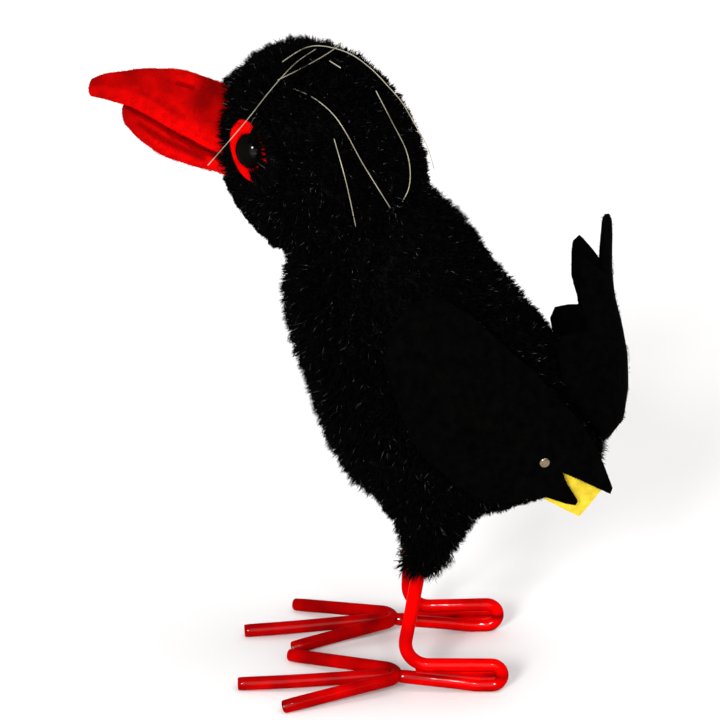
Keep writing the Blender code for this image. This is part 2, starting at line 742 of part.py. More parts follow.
def thigh_loft(name, side, inset, material, home=None):
    rows = curve_through(THIGH, 8)
    rings = []
    for i, row in enumerate(rows):
        share = i / (len(rows) - 1)
        x = side * (THIGH_X[0] + (THIGH_X[1] - THIGH_X[0]) * share)
        rings.append(section(row, x, LIMB_SEGMENTS))
    return loft(name, rings, material, home, inset)


def build_thigh(name, side, channels, torso_space):
    cover = thigh_loft(f"{name}_thigh_cover", side, 0.0, BLACK_PILE)
    hollow = thigh_loft(f"{name}_thigh_hollow", side, CLOTH, STUFFING, CUTTERS)
    filling = thigh_loft(f"{name}_thigh_stuffing", side, CLOTH + GAP, STUFFING)
    cut(cover, hollow, torso_space, *channels)
    cut(filling, torso_space, *channels)


def wing_point(side, along, across):
    """A point on the bowed middle surface of a wing."""
    bow = (WING_BOW_ALONG * (along - WING_CREST) ** 2 + WING_BOW_ACROSS * across ** 2)
    flat = Vector((0, *WING_MIDDLE)) + WING_ALONG * along + WING_ACROSS * across
    return Vector((side * (WING_X - bow), flat.y, flat.z))


def wing_outward(side, along, across):
    step = 0.5
    ahead = wing_point(side, along + step, across) - wing_point(side, along - step, across)
    over = wing_point(side, along, across + step) - wing_point(side, along, across - step)
    outward = ahead.cross(over).normalized()
    return outward if outward.x * side > 0 else -outward


def build_wing(name, side):
    columns = []
    for across, start, end in WING_COLUMNS:
        steps = [start + (end - start) * i / (WING_ROWS - 1) for i in range(WING_ROWS)]
        columns.append([wing_point(side, along, across) for along in steps])
    return sheet(name, columns, WING_THICKNESS, BLACK_FELT)


def build_wings():
    build_wing("right_wing_felt", -1)
    felt = build_wing("left_wing_felt", 1)
    place = frame_at(wing_point(1, *BUTTON_ON_WING), wing_outward(1, *BUTTON_ON_WING))
    half = WING_THICKNESS / 2 + GAP
    tag_low = half + TAG_THICKNESS
    back_low = tag_low + GAP + BUTTON_BACK_THICKNESS
    shank = BUTTON_SHANK_RADIUS
    dome = [(radius, half + rise) for radius, rise in BUTTON_DOME]
    stem = [(shank, half), (shank, -back_low - GAP), (0, -back_low - GAP)]
    turned("wing_button", [*dome, *stem], BRASS, place)
    washer("wing_button_back", shank + GAP, BUTTON_BACK_RADIUS, -back_low, -tag_low - GAP, BRASS,
           place)
    cut(felt, rod("button_hole", shank + GAP, -8.0, 8.0, place))
    cut(build_tag(half + TAG_THICKNESS / 2), rod("tag_hole", shank + RUNNING_FIT, -8.0, 8.0, place))
    return place


def build_tag(depth):
    """A blank strip that lies along the wing's inner face, turned a little about the button."""
    columns = []
    turn = Matrix.Rotation(TAG_TURN, 2)
    for i in range(9):
        run = TAG_ENDS[0] + (TAG_ENDS[1] - TAG_ENDS[0]) * i / 8
        column = []
        for j in range(5):
            rise = TAG_EDGES[0] + (TAG_EDGES[1] - TAG_EDGES[0]) * j / 4
            along, across = Vector(BUTTON_ON_WING) + turn @ Vector((run, rise))
            outward = wing_outward(1, along, across)
            column.append(wing_point(1, along, across) - outward * depth)
        columns.append(column)
    return sheet("tag", columns, TAG_THICKNESS, YELLOW_TAG)


def tail_spine(z):
    for (low, y0), (high, y1) in zip(TAIL_SPINE, TAIL_SPINE[1:]):
        if z <= high:
            return y0 + (y1 - y0) * (z - low) / (high - low)
    return TAIL_SPINE[-1][1]


def build_tail():
    fingers = [(-angle, top) for angle, top in reversed(TAIL_FINGERS[1:])] + list(TAIL_FINGERS)
    columns = []
    for angle, top in fingers:
        foot = TAIL_FOOT_Z + (TAIL_EDGE_Z - TAIL_FOOT_Z) * abs(angle / 90) ** 2
        turn = math.radians(angle)
        column = []
        for i in range(TAIL_ROWS):
            z = foot + (top - foot) * i / (TAIL_ROWS - 1)
            y = tail_spine(z) - TAIL_DEPTH * (1 - math.cos(turn))
            column.append((TAIL_HALF_WIDTH * math.sin(turn), y, z))
        columns.append(column)
    sheet("tail_felt", columns, TAIL_THICKNESS, BLACK_FELT)


def build_strands():
    for number, route in enumerate(STRANDS, 1):
        points = curve_through(route, 3 * len(route))
        wire(f"nylon_strand_{number}", points, STRAND_RADIUS, NYLON, sides=1)


def hang(joint, place, prefixes):
    """An empty on a joint's axis, with the pieces that turn about it."""
    axis = bpy.data.objects.new(joint, None)
    axis.empty_display_size = 0.01
    BIRD.objects.link(axis)
    seat = place.copy()
    seat.translation *= MM
    axis.matrix_world = seat
    bpy.context.view_layer.update()
    for piece in BIRD.objects:
        if piece.type != "EMPTY" and piece.name.startswith(prefixes):
            piece.parent = axis
            piece.matrix_parent_inverse = seat.inverted()


def hang_moving_pieces(button_place):
    head = ("head_", "neck_split_pin", "upper_beak", "lower_beak", "left_eye", "right_eye",
            "nylon_strand")
    hang("head_joint", neck_frame(), head)
    for name, side in (("left", 1), ("right", -1)):
        seam = frame_at(wing_point(side, WING_SEAM, 0.0), WING_ACROSS * -side, WING_ALONG)
        pieces = (f"{name}_wing_felt", "wing_button") if name == "left" else ("right_wing_felt",)
        hang(f"{name}_wing_joint", seam, pieces)
    hang("tag_joint", button_place, ("tag",))
    wing_joint = bpy.data.objects["left_wing_joint"]
    tag_joint = bpy.data.objects["tag_joint"]
    tag_joint.parent = wing_joint
    tag_joint.matrix_parent_inverse = wing_joint.matrix_world.inverted()
    upright = Matrix.Translation((0, TAIL_SPINE[0][1], TAIL_FOOT_Z))
    hang("tail_joint", upright, ("tail_felt",))


def main():
    pin_hole = rod("neck_pin_hole", NECK_HOLE_RADIUS + GAP, -6.0, 6.0, neck_frame())
    torso_space = stuffed("torso_space", TORSO, -GAP, STUFFING, CUTTERS)
    head_space = stuffed("head_space", HEAD, -GAP, STUFFING, CUTTERS)
    box = bmesh.new()
    bmesh.ops.create_cube(box, size=1.0)
    bmesh.ops.scale(box, vec=(200, 200, 10), verts=box.verts)
    bmesh.ops.translate(box, vec=(0, 0, -5), verts=box.verts)
    floor = from_bmesh("below_the_soles", box, STEEL, CUTTERS)
    channels = {name: leg_channel(name, foot) for name, foot in FEET.items()}
    build_body([cutter for pair in channels.values() for cutter in pair], pin_hole)
    build_neck()
    build_head(pin_hole)
    build_beak(head_space)
    for name, foot in FEET.items():
        build_thigh(name, foot["side"], channels[name], torso_space)
        build_leg(name, foot, floor)
    button_place = build_wings()
    build_tail()
    build_strands()
    hang_moving_pieces(button_place)


main()
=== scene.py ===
"""The looks of a stuffed raven toy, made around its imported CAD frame.

The toy faces -Y and its left side is +X.  The design numbers are in millimetres, as in the CAD
part, and MM scales them where a mesh is made.
"""

import math

import bmesh
import bpy
import numpy as np
from mathutils import Matrix, Vector, noise
from mathutils.bvhtree import BVHTree
from mathutils.kdtree import KDTree


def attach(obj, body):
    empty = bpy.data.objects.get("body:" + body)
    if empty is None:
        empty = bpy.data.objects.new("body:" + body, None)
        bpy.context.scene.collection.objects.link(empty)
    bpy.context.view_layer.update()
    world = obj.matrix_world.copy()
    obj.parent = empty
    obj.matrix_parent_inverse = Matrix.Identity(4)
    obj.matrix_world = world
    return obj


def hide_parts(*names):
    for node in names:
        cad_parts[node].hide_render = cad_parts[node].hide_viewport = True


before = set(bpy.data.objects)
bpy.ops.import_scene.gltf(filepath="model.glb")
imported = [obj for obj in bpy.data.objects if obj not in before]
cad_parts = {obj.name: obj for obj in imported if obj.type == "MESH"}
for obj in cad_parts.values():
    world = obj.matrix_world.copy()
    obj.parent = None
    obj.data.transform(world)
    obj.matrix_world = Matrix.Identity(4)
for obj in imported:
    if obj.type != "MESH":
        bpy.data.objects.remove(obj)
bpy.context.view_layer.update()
MM = 0.001
SIDES = (("left", 1), ("right", -1))

# The camera looks along -X at the toy's left side, from a little above.
CAMERA_PLACE = Vector((670.5, -0.8, 317.0))
CAMERA_PITCH = math.atan2(237.0, 680.0)
CAMERA_LENS = 140.13

PILE = 2.5
GAP = 0.3

# Sections as (front y, front z, back y, back z, half width) to the tips of the pile.
TORSO = (
    (-20.0, 113.7, 16.6, 129.3, 19.9),
    (-19.7, 108.0, 26.5, 119.5, 22.5),
    (-19.9, 100.0, 34.5, 108.0, 25.5),
    (-18.0, 90.0, 43.0, 97.5, 27.5),
    (-14.2, 78.5, 51.5, 87.0, 28.5),
    (-10.5, 66.5, 57.5, 75.0, 28.0),
    (-4.5, 54.5, 61.0, 63.0, 26.0),
    (4.5, 47.0, 59.5, 55.0, 21.0),
    (14.0, 43.9, 53.5, 49.8, 14.0),
    (22.5, 42.9, 45.0, 46.5, 8.0),
)
HEAD = (
    (-20.0, 113.7, 16.6, 129.3, 19.9),
    (-27.0, 116.6, 16.8, 133.0, 22.0),
    (-32.8, 124.5, 15.5, 139.5, 23.2),
    (-36.2, 133.0, 13.8, 145.0, 23.2),
    (-37.0, 142.0, 10.5, 150.5, 22.0),
    (-36.2, 150.6, 6.0, 156.0, 19.5),
    (-32.0, 157.4, -0.5, 160.9, 15.5),
    (-25.5, 162.8, -8.5, 164.8, 9.0),
)
NECK_CENTRE = Vector((0.0, -1.7, 121.5))
NECK_UP = Vector((0.0, -0.392, 0.920)).normalized()
THIGH = (
    (-3.0, 64.0, 38.0, 64.0, 13.0),
    (2.0, 52.5, 33.5, 52.5, 10.5),
    (6.6, 45.6, 29.0, 45.6, 8.8),
    (9.2, 39.0, 24.0, 39.0, 7.0),
    (9.2, 34.0, 20.0, 34.0, 5.4),
)
THIGH_X = (13.5, 16.8)

# The beak's sections as (top y, z, bottom y, z, half width), and where each is widest.
UPPER_BEAK = (
    (-26.0, 151.8, -26.0, 136.5, 10.0),
    (-36.0, 155.4, -36.0, 139.2, 9.6),
    (-43.5, 158.1, -43.5, 142.7, 8.6),
    (-50.0, 158.7, -50.0, 146.4, 7.2),
    (-57.0, 158.3, -57.0, 149.9, 5.4),
    (-62.5, 157.6, -62.5, 151.3, 4.0),
    (-66.0, 156.4, -66.0, 152.0, 2.8),
)
LOWER_BEAK = (
    (-26.0, 135.6, -26.0, 130.1, 8.6),
    (-36.0, 138.6, -36.0, 132.9, 8.3),
    (-43.5, 142.5, -43.5, 134.9, 7.8),
    (-50.0, 146.2, -50.0, 137.3, 6.5),
    (-55.5, 149.0, -55.5, 141.3, 4.9),
    (-58.0, 149.8, -58.0, 144.2, 3.2),
)
UPPER_WIDEST = 0.12
LOWER_WIDEST = 0.88
# Pressed creases along each side of the beak, as (x, y, z), with how wide and deep they are; their
# bottoms get painted shade.
UPPER_CREASE = ((2.5, -62.3, 156.7), (4.0, -58.3, 155.7), (5.0, -54.1, 154.3),
                (6.0, -49.9, 152.2), (7.0, -43.8, 148.7))
NOSTRIL = ((5.0, -44.9, 157.1), (5.4, -41.0, 156.2))
# LOWER_SHADE is barely pressed: it is a broad band of painted shadow under the upper half's
# overhang.
LOWER_SHADE = ((4.4, -56.0, 148.4), (6.2, -50.0, 145.4), (7.6, -44.0, 142.0), (8.0, -40.0, 140.0))
LOWER_CREASE = ((5.0, -54.6, 145.9), (5.9, -50.5, 143.4), (6.9, -45.5, 141.0), (7.6, -39.5, 138.6))

# Feet, as in the CAD part but for small overlaps where the sleeves meet.
SLEEVE_RADIUS = 1.75
SLEEVE_WALL = 0.5
LEG_TOP = 40.0
ANKLE_BEND = 6.0
V_BEND = 4.0
V_STEPS = 16
V_POINT_Y = 14.0
TOE_START = 1.4
CROSSING_Z = 4.2
REST_Z = 1.6
SOLE_RISE = ((29.0, REST_Z), (23.0, 2.4), (17.0, 3.1))
SOLE_END_Z = 4.0
SOLE_BITE = 0.6
WEB_THICKNESS = 1.2
WEB_BITE = 0.3
WEB_AHEAD = 2.6
WEB_START_Z = 3.3
TOE_START_Z = 4.1
TOE_FALL = ((0.0, 3.7), (-8.0, 3.1), (-16.0, 2.5), (-24.0, 2.0))
FEET = {
    "left": {
        "knee": (16.8, 15.4), "ankle": 10.8, "strand": 7.15, "heel": (18.8, 32.8),
        "middle": (18.2, -32.0), "outer": (31.4, -20.0), "inner": (0.9, -19.2),
    },
    "right": {
        "knee": (-16.3, 13.2), "ankle": 12.0, "strand": 7.6, "heel": (-17.9, 33.1),
        "middle": (-14.2, -31.6), "outer": (-31.4, -18.6), "inner": (-3.6, -18.5),
    },
}

EYE_PLACE = Vector((15.4, -27.2, 142.1))
EYE_OUTWARD = Vector((0.73, -0.68, 0.05)).normalized()
EYE_TALL = Vector((-0.40, -0.32, 0.86)).normalized()
EYE_RADIUS = 4.1
EYE_HEIGHT = 2.7
EYE_RING_HALF = (7.9, 5.7)
EYE_RING_THICKNESS = 1.1

WING_MIDDLE = (30.0, 80.0)
WING_ALONG = Vector((0.0, 0.737, -0.676)).normalized()
WING_ACROSS = Vector((0.0, 0.676, 0.737)).normalized()
WING_X = 29.8
WING_BOW_ALONG = 0.0046
WING_BOW_ACROSS = 0.0095
WING_CREST = -2.0
WING_THICKNESS = 1.6
WING_COLUMNS = (
    (-19.5, -1.0, 8.0), (-18.0, -8.0, 18.0), (-14.0, -16.0, 21.5), (-10.0, -23.0, 24.5),
    (-7.0, -27.0, 27.5), (-5.4, -28.6, 32.5), (-4.2, -29.4, 34.8), (-3.0, -30.0, 34.4),
    (-1.2, -30.6, 29.0), (0.6, -31.0, 25.4), (1.8, -31.2, 31.0), (3.4, -31.4, 39.6),
    (5.0, -31.4, 38.8), (8.0, -31.0, 33.0), (11.0, -29.5, 26.5), (13.5, -26.0, 16.5),
    (15.0, -19.0, 2.0),
)
BUTTON_ON_WING = (19.5, 0.0)
BUTTON_RADIUS = 1.3
TAG_THICKNESS = 0.3
TAG_ENDS = (-2.6, 19.2)
TAG_EDGES = (-9.4, 1.8)
TAG_TURN = math.radians(7)

TAIL_HALF_WIDTH = 12.0
TAIL_DEPTH = 17.0
TAIL_THICKNESS = 2.0
TAIL_FOOT_Z = 62.5
TAIL_EDGE_Z = 80.0
TAIL_SPINE = (
    (62.5, 61.3), (68.5, 65.6), (76.6, 66.5), (86.0, 65.9), (94.0, 64.2), (100.6, 62.3),
    (107.2, 61.5), (115.0, 61.3), (121.5, 61.0),
)
TAIL_FINGERS = (
    (0, 121.5), (9, 121.3), (16, 120.2), (20, 116.0), (24, 108.6), (31, 108.6), (43, 111.2),
    (53, 113.4), (58, 112.0), (60.5, 94.6), (72, 94.3), (84, 93.4), (90, 90.4),
)

STRAND_RADIUS = 0.11
STRANDS = (
    ((17.5, -37.5, 139.0), (19.5, -28.3, 150.2), (16.0, -22.0, 157.5), (11.0, -16.5, 162.5),
     (6.0, -11.5, 165.0)),
    ((2.5, -5.5, 165.4), (7.0, -9.0, 163.9), (12.0, -14.4, 161.9), (15.6, -20.5, 159.6)),
    ((9.5, -19.6, 162.6), (7.0, -14.3, 165.4), (5.5, -9.6, 165.6), (5.5, -3.4, 163.8),
     (6.0, 1.8, 160.2), (6.5, 6.1, 155.8), (7.0, 9.4, 152.0), (7.0, 12.6, 146.5),
     (6.5, 15.6, 141.0), (6.0, 17.4, 135.0)),
    ((15.0, -16.8, 157.4), (17.5, -12.0, 155.8), (19.8, -7.5, 152.6), (21.2, -4.2, 148.2),
     (21.8, -0.1, 140.6), (18.6, 6.6, 128.6)),
    ((22.4, -7.0, 147.0), (23.4, -4.2, 136.8), (20.8, -1.8, 124.6)),
    ((12.0, 3.0, 156.2), (14.2, 6.9, 149.0), (15.0, 10.2, 142.5), (15.4, 11.3, 137.4),
     (15.6, 11.0, 132.8), (15.6, 9.4, 129.4)),
    ((10.6, -8.2, 163.2), (11.4, -5.4, 161.6)),
)


# ---- materials

def principled(name, colour, roughness, gloss=0.5, **sockets):
    """A material whose Principled sockets hold these constant values."""
    made = bpy.data.materials.new(name)
    made.use_nodes = True
    shader = made.node_tree.nodes["Principled BSDF"]
    shader.inputs["Base Color"].default_value = (*colour, 1.0)
    shader.inputs["Roughness"].default_value = roughness
    shader.inputs["Specular IOR Level"].default_value = gloss
    for socket, value in sockets.items():
        shader.inputs[socket.replace("_", " ")].default_value = value
    return made


def add(material, kind, **settings):
    node = material.node_tree.nodes.new(kind)
    for key, value in settings.items():
        if hasattr(node, key):
            setattr(node, key, value)
        else:
            node.inputs[key.replace("_", " ")].default_value = value
    return node


def wiring(material):
    """What links a material's nodes, and its Principled shader."""
    tree = material.node_tree
    return tree.links.new, tree.nodes["Principled BSDF"]


def mottled(material, low, high, scale, detail=6.0, stretch=(1, 1, 1)):
    """Colour that wanders between two tones, by noise in the piece's own space."""
    link, shader = wiring(material)
    place = add(material, "ShaderNodeTexCoord")
    mapping = add(material, "ShaderNodeMapping", Scale=stretch)
    texture = add(material, "ShaderNodeTexNoise", Scale=scale, Detail=detail)
    ramp = add(material, "ShaderNodeValToRGB")
    for stop, position, tone in zip(ramp.color_ramp.elements, (0.3, 0.7), (low, high)):
        stop.position = position
        stop.color = (*tone, 1.0)
    link(place.outputs["Object"], mapping.inputs["Vector"])
    link(mapping.outputs["Vector"], texture.inputs["Vector"])
    link(texture.outputs["Fac"], ramp.inputs["Fac"])
    link(ramp.outputs["Color"], shader.inputs["Base Color"])
    return mapping


def add_painted_shade(material, colour):
    """Turns the colour towards another, a painted shade, by the piece's own per-point attribute of
    painted shade.
    """
    link, shader = wiring(material)
    clean = shader.inputs["Base Color"].links[0].from_socket
    painted_shade = add(material, "ShaderNodeAttribute", attribute_name="painted_shade")
    mix = add(material, "ShaderNodeMix", data_type="RGBA")
    factor, first, second, result = mix.inputs[0], mix.inputs[6], mix.inputs[7], mix.outputs[2]
    second.default_value = (*colour, 1.0)
    link(painted_shade.outputs["Fac"], factor)
    link(clean, first)
    link(result, shader.inputs["Base Color"])


def bumped(material, mapping, scale, distance, kind="ShaderNodeTexNoise", **settings):
    """Fine relief, at a scale in the piece's own space."""
    link, shader = wiring(material)
    texture = add(material, kind, Scale=scale, **settings)
    bump = add(material, "ShaderNodeBump", Distance=distance)
    bump.inputs["Strength"].default_value = 0.8
    link(mapping.outputs["Vector"], texture.inputs["Vector"])
    link(texture.outputs[0], bump.inputs["Height"])
    link(bump.outputs["Normal"], shader.inputs["Normal"])
    return material


def glossed(material, facing, edge, reach):
    """Gloss that fades as the surface turns away from square on."""
    link, shader = wiring(material)
    weight = add(material, "ShaderNodeLayerWeight", Blend=0.5)
    fade = add(material, "ShaderNodeMapRange")
    for socket, value in zip(("From Min", "From Max", "To Min", "To Max"),
                             (0.0, reach, facing, edge)):
        fade.inputs[socket].default_value = value
    link(weight.outputs["Facing"], fade.inputs["Value"])
    link(fade.outputs["Result"], shader.inputs["Specular IOR Level"])


def felt(name, low, high):
    """Pressed wool: short crossing fibres with cloudy tone."""
    made = principled(name, low, 0.95, 0.006)
    return bumped(made, mottled(made, low, high, 420.0), 2600.0, 0.00012, Detail=4.0)


def worn_metal(name, colour, roughness):
    made = principled(name, colour, roughness, Metallic=1.0)
    tone = tuple(0.8 * c for c in colour)
    return bumped(made, mottled(made, tone, colour, 900.0, 3.0, (1, 1, 6)), 1800.0, 0.00002)


BACKING = principled("pile_backing", (0.002, 0.002, 0.002), 1.0, 0.02)
bumped(BACKING, mottled(BACKING, (0.001, 0.001, 0.001), (0.004, 0.004, 0.004), 700.0), 1500.0,
       0.0002, "ShaderNodeTexVoronoi")
PILE_TONES = (
    principled("pile_black", (0.0016, 0.0016, 0.0017), 0.8, 0.012),
    principled("pile_deep_black", (0.0008, 0.0008, 0.0008), 0.9, 0.006),
    principled("pile_worn", (0.0035, 0.0032, 0.003), 0.7, 0.02),
    principled("pile_glint", (0.012, 0.012, 0.013), 0.28, 0.8),
)
GLINTS = 0.018
PILE_SHARES = [0.5, 0.35, 0.15 - GLINTS, GLINTS]
BLACK_FELT = felt("black_felt_wool", (0.0004, 0.0004, 0.0004), (0.0014, 0.0013, 0.0012))
BLACK_FUZZ = (
    principled("black_felt_fibre", (0.0012, 0.0012, 0.0012), 0.9, 0.01),
    principled("black_felt_fibre_worn", (0.0028, 0.0026, 0.0024), 0.85, 0.02),
)
RED_FELT = felt("red_felt_wool", (0.5, 0.0008, 0.0008), (0.78, 0.0012, 0.001))
# Painted shade: the beak's felt turns this dark red on its tops, in its creases and under the
# upper half, and darker towards its tip.
add_painted_shade(RED_FELT, (0.16, 0.0006, 0.0006))
RED_FUZZ = (
    principled("red_felt_fibre", (0.7, 0.001, 0.001), 0.95, 0.01),
    principled("red_felt_fibre_dark", (0.42, 0.0008, 0.0008), 0.95, 0.01),
)
SLEEVE = principled("red_sleeve_plastic", (0.5, 0.001, 0.001), 0.05, IOR=1.47)
bumped(SLEEVE, mottled(SLEEVE, (0.42, 0.0004, 0.0006), (0.88, 0.0006, 0.0004), 110.0, 4.0),
       220.0, 0.00005)
glossed(SLEEVE, 0.6, 0.003, 0.045)
# Painted shade: the sleeves turn this dark red round the toes' crossing, underneath, along the
# toes and inside the heel's loop.
add_painted_shade(SLEEVE, (0.06, 0.0006, 0.0012))
EYE_GLASS = principled("eye_black_glass", (0.0015, 0.0015, 0.0015), 0.03, 0.05, IOR=1.52)
mottled(EYE_GLASS, (0.0008, 0.0008, 0.001), (0.003, 0.0025, 0.002), 160.0, 2.0)
glossed(EYE_GLASS, 0.35, 0.004, 0.1)
NYLON = principled("nylon_strand", (0.36, 0.34, 0.2), 0.35, 0.3)
mottled(NYLON, (0.1, 0.095, 0.06), (0.5, 0.47, 0.33), 110.0, 3.0)
TAG = principled("tag_cloth", (0.9, 0.7, 0.03), 0.7, 0.2)
bumped(TAG, mottled(TAG, (0.62, 0.42, 0.01), (0.95, 0.76, 0.04), 240.0, 5.0), 2200.0, 0.00015,
       "ShaderNodeTexMagic")
STEEL = worn_metal("bare_steel", (0.55, 0.55, 0.56), 0.35)
BRASS = worn_metal("rivet_brass", (0.26, 0.21, 0.13), 0.24)
BOARD = principled("hardboard", (0.36, 0.24, 0.14), 0.8)
bumped(BOARD, mottled(BOARD, (0.24, 0.15, 0.08), (0.4, 0.28, 0.17), 300.0, 8.0), 900.0, 0.0001)


# ---- shapes

def curve_through(rows, count):
    """Evenly spaced points on a smooth curve through rows of numbers."""
    rows = [rows[0], *rows, rows[-1]]
    spans = len(rows) - 3
    found = []
    for step in range(count):
        place = step * spans / (count - 1)
        i = min(int(place), spans - 1)
        t = place - i
        found.append(tuple(
            0.5 * (2 * b + (c - a) * t + (2 * a - 5 * b + 4 * c - d) * t**2
                   + (3 * b - 3 * c + d - a) * t**3)
            for a, b, c, d in zip(*rows[i:i + 4])
        ))
    return found


def in_scene(name, data):
    made = bpy.data.objects.new(name, data)
    bpy.context.scene.collection.objects.link(made)
    return made


def turns_of(count):
    """Evenly spaced angles round a full turn."""
    return [2 * math.pi * i / count for i in range(count)]


def between_rings(count, size, closed=False):
    """The faces between rings of so many points each, and from the last to the first if closed."""
    return [
        (a * size + i, a * size + (i + 1) % size, (a + 1) % count * size + (i + 1) % size,
         (a + 1) % count * size + i)
        for a in range(count if closed else count - 1)
        for i in range(size)
    ]


def piece(name, vertices, faces, material):
    """A mesh object from points in millimetres, with its faces turned outward."""
    mesh = bpy.data.meshes.new(name)
    mesh.from_pydata([tuple(Vector(v) * MM) for v in vertices], [], faces)
    mesh.materials.append(material)
    shape = bmesh.new()
    shape.from_mesh(mesh)
    bmesh.ops.recalc_face_normals(shape, faces=shape.faces)
    shape.to_mesh(mesh)
    shape.free()
    mesh.shade_smooth()
    return in_scene(name, mesh)


def tube(name, rings, material):
    """A closed tube through rings of equally many points, its ends drawn to a point."""
    size = len(rings[0])
    vertices = [point for ring in rings for point in ring]
    faces = between_rings(len(rings), size)
    for ring, start in ((rings[0], 0), (rings[-1], (len(rings) - 1) * size)):
        middle = len(vertices)
        vertices.append(centre_of(ring))
        faces += [(start + i, start + (i + 1) % size, middle) for i in range(size)]
    return piece(name, vertices, faces, material)


def lumpy(made, reach, size):
    """Slight unevenness of the stuffing, pushed along the normals."""
    for vert, normal in [(v, v.normal.copy()) for v in made.data.vertices]:
        vert.co += normal * noise.noise(vert.co / (size * MM)) * reach * MM
    made.data.update()


def smooth_section(row, x, segments):
    front = Vector((x, row[0], row[1]))
    back = Vector((x, row[2], row[3]))
    middle, depth = (front + back) / 2, (back - front) / 2
    width = Vector((row[4], 0, 0))
    return [middle + depth * math.cos(t) + width * math.sin(t) for t in turns_of(segments)]


def centre_of(ring):
    return sum(ring, Vector()) / len(ring)


def domed(ring, outward, height):
    """More rings that close an end with a shallow dome."""
    middle = centre_of(ring)
    found = []
    for i in range(1, 6):
        t = math.pi / 2 * i / 6
        found.append([middle + (p - middle) * math.cos(t) + outward * height * math.sin(t)
                      for p in ring])
    return found


def drawn_in(made, keep_level=None):
    """Moves a form's cloth in from the tips of its pile, but level beside a seam at that place."""
    for vert, normal in [(v, v.normal.copy()) for v in made.data.vertices]:
        if keep_level and abs((vert.co / MM - keep_level).dot(NECK_UP)) < 3.0:
            normal -= NECK_UP * normal.dot(NECK_UP)
            normal = normal.normalized() if normal.length > 0.3 else Vector()
        vert.co -= normal * PILE * MM
    made.data.update()


def stuffed(name, rows, neck, dome):
    """A torso or head: its neck end is drawn in like a gathered seam, its other end is round."""
    rings = [smooth_section(row, 0.0, 72) for row in curve_through(rows, 44)]
    end = rings[-1]
    outward = centre_of(end) - centre_of(rings[-3])
    middle = centre_of(rings[0])
    turned_in = [[middle + (p - middle) * share + neck * lift for p in rings[0]]
                 for share, lift in ((0.9, 0.3), (0.97, 0.45))]
    made = tube(name, [*turned_in, *rings[1:], *domed(end, outward.normalized(), dome)], BACKING)
    drawn_in(made, NECK_CENTRE)
    lumpy(made, 0.5, 9.0)
    return made


def beak_ring(row, widest, count):
    top, bottom = Vector((0, row[0], row[1])), Vector((0, row[2], row[3]))
    level = bottom.lerp(top, widest)
    ring = []
    for t in turns_of(count):
        reach = (top if math.cos(t) > 0 else bottom) - level
        ring.append(level + reach * abs(math.cos(t)) + Vector((row[4] * math.sin(t), 0, 0)))
    return ring


# The per-point attribute that holds painted shade.
def painted_shade_of(made):
    found = made.data.attributes.get("painted_shade")
    return found or made.data.attributes.new("painted_shade", "FLOAT", "POINT")


def press(made, route, width, depth, painted_shade):
    """Presses a soft groove along a route, on both sides of the toy, and paints shade along its
    bottom.
    """
    surface = tree_of([made])
    points = [surface.find_nearest(Vector(p))[0] * MM for p in curve_through(route, 30)]
    painted_shade_values = painted_shade_of(made).data
    for vert in made.data.vertices:
        here = Vector((abs(vert.co.x), vert.co.y, vert.co.z))
        away = min((here - p).length for p in points) / (width * MM)
        if away < 1.0:
            share = (1 - away * away) ** 2
            vert.co -= vert.normal * share * depth * MM
            painted_shade_values[vert.index].value = max(painted_shade_values[vert.index].value, painted_shade * share)
    made.data.update()


def top_shade_and_dark_tip(made, most, tip):
    """Painted shade on the upward sides, and darker towards the beak's tip, in patches."""
    painted_shade_values = painted_shade_of(made).data
    for vert in made.data.vertices:
        up = min(1.0, max(0.0, vert.normal.z) / 0.5)
        far = min(1.0, max(0.0, -vert.co.y / MM - 46.0) / 14.0)
        patch = 0.85 + 0.7 * noise.noise(vert.co / (7 * MM))
        painted_shade_values[vert.index].value = min(1.0, max(most * up, tip * far) * patch)


def beak_half(name, rows, widest):
    rows = curve_through(rows, 84)
    rings = [beak_ring(row, widest, 96) for row in rows]
    ahead = (sum(rings[-1], Vector()) - sum(rings[-3], Vector())).normalized()
    made = tube(name, [*rings, *domed(rings[-1], ahead, 1.3)], RED_FELT)
    lumpy(made, 0.3, 6.0)
    return made


def swept(name, points, radius, material, sides=24, wall=0.0):
    """A round tube along points; with a wall it is a sleeve, open at both ends."""
    points = [Vector(p) for p in points]
    ahead = [(points[min(i + 1, len(points) - 1)] - points[max(i - 1, 0)]).normalized()
             for i in range(len(points))]
    across = ahead[0].orthogonal().normalized()
    frames = []
    for direction in ahead:
        across = (across - direction * across.dot(direction)).normalized()
        frames.append((across.copy(), direction.cross(across)))

    def ring(i, reach, shift=0.0):
        a, b = frames[i]
        return [points[i] + ahead[i] * shift + (a * math.cos(t) + b * math.sin(t)) * reach
                for t in turns_of(sides)]

    last = len(points) - 1
    outer = [ring(i, radius) for i in range(1, last)]
    if not wall:
        return tube(name, [ring(0, radius * 0.5), *outer, ring(last, radius * 0.5)], material)
    bore, lip = radius - wall, radius - wall / 2
    rounding, bulge = 0.1, 0.12
    start = [ring(0, bore), ring(0, lip, -bulge), ring(0, radius - rounding, rounding)]
    end = [ring(last, radius - rounding, -rounding), ring(last, lip, bulge), ring(last, bore)]
    inner = [ring(i, bore) for i in range(last - 1, 0, -1)]
    rings = [*start, *outer, *end, *inner]
    vertices = [p for one in rings for p in one]
    return piece(name, vertices, between_rings(len(rings), sides, closed=True), material)


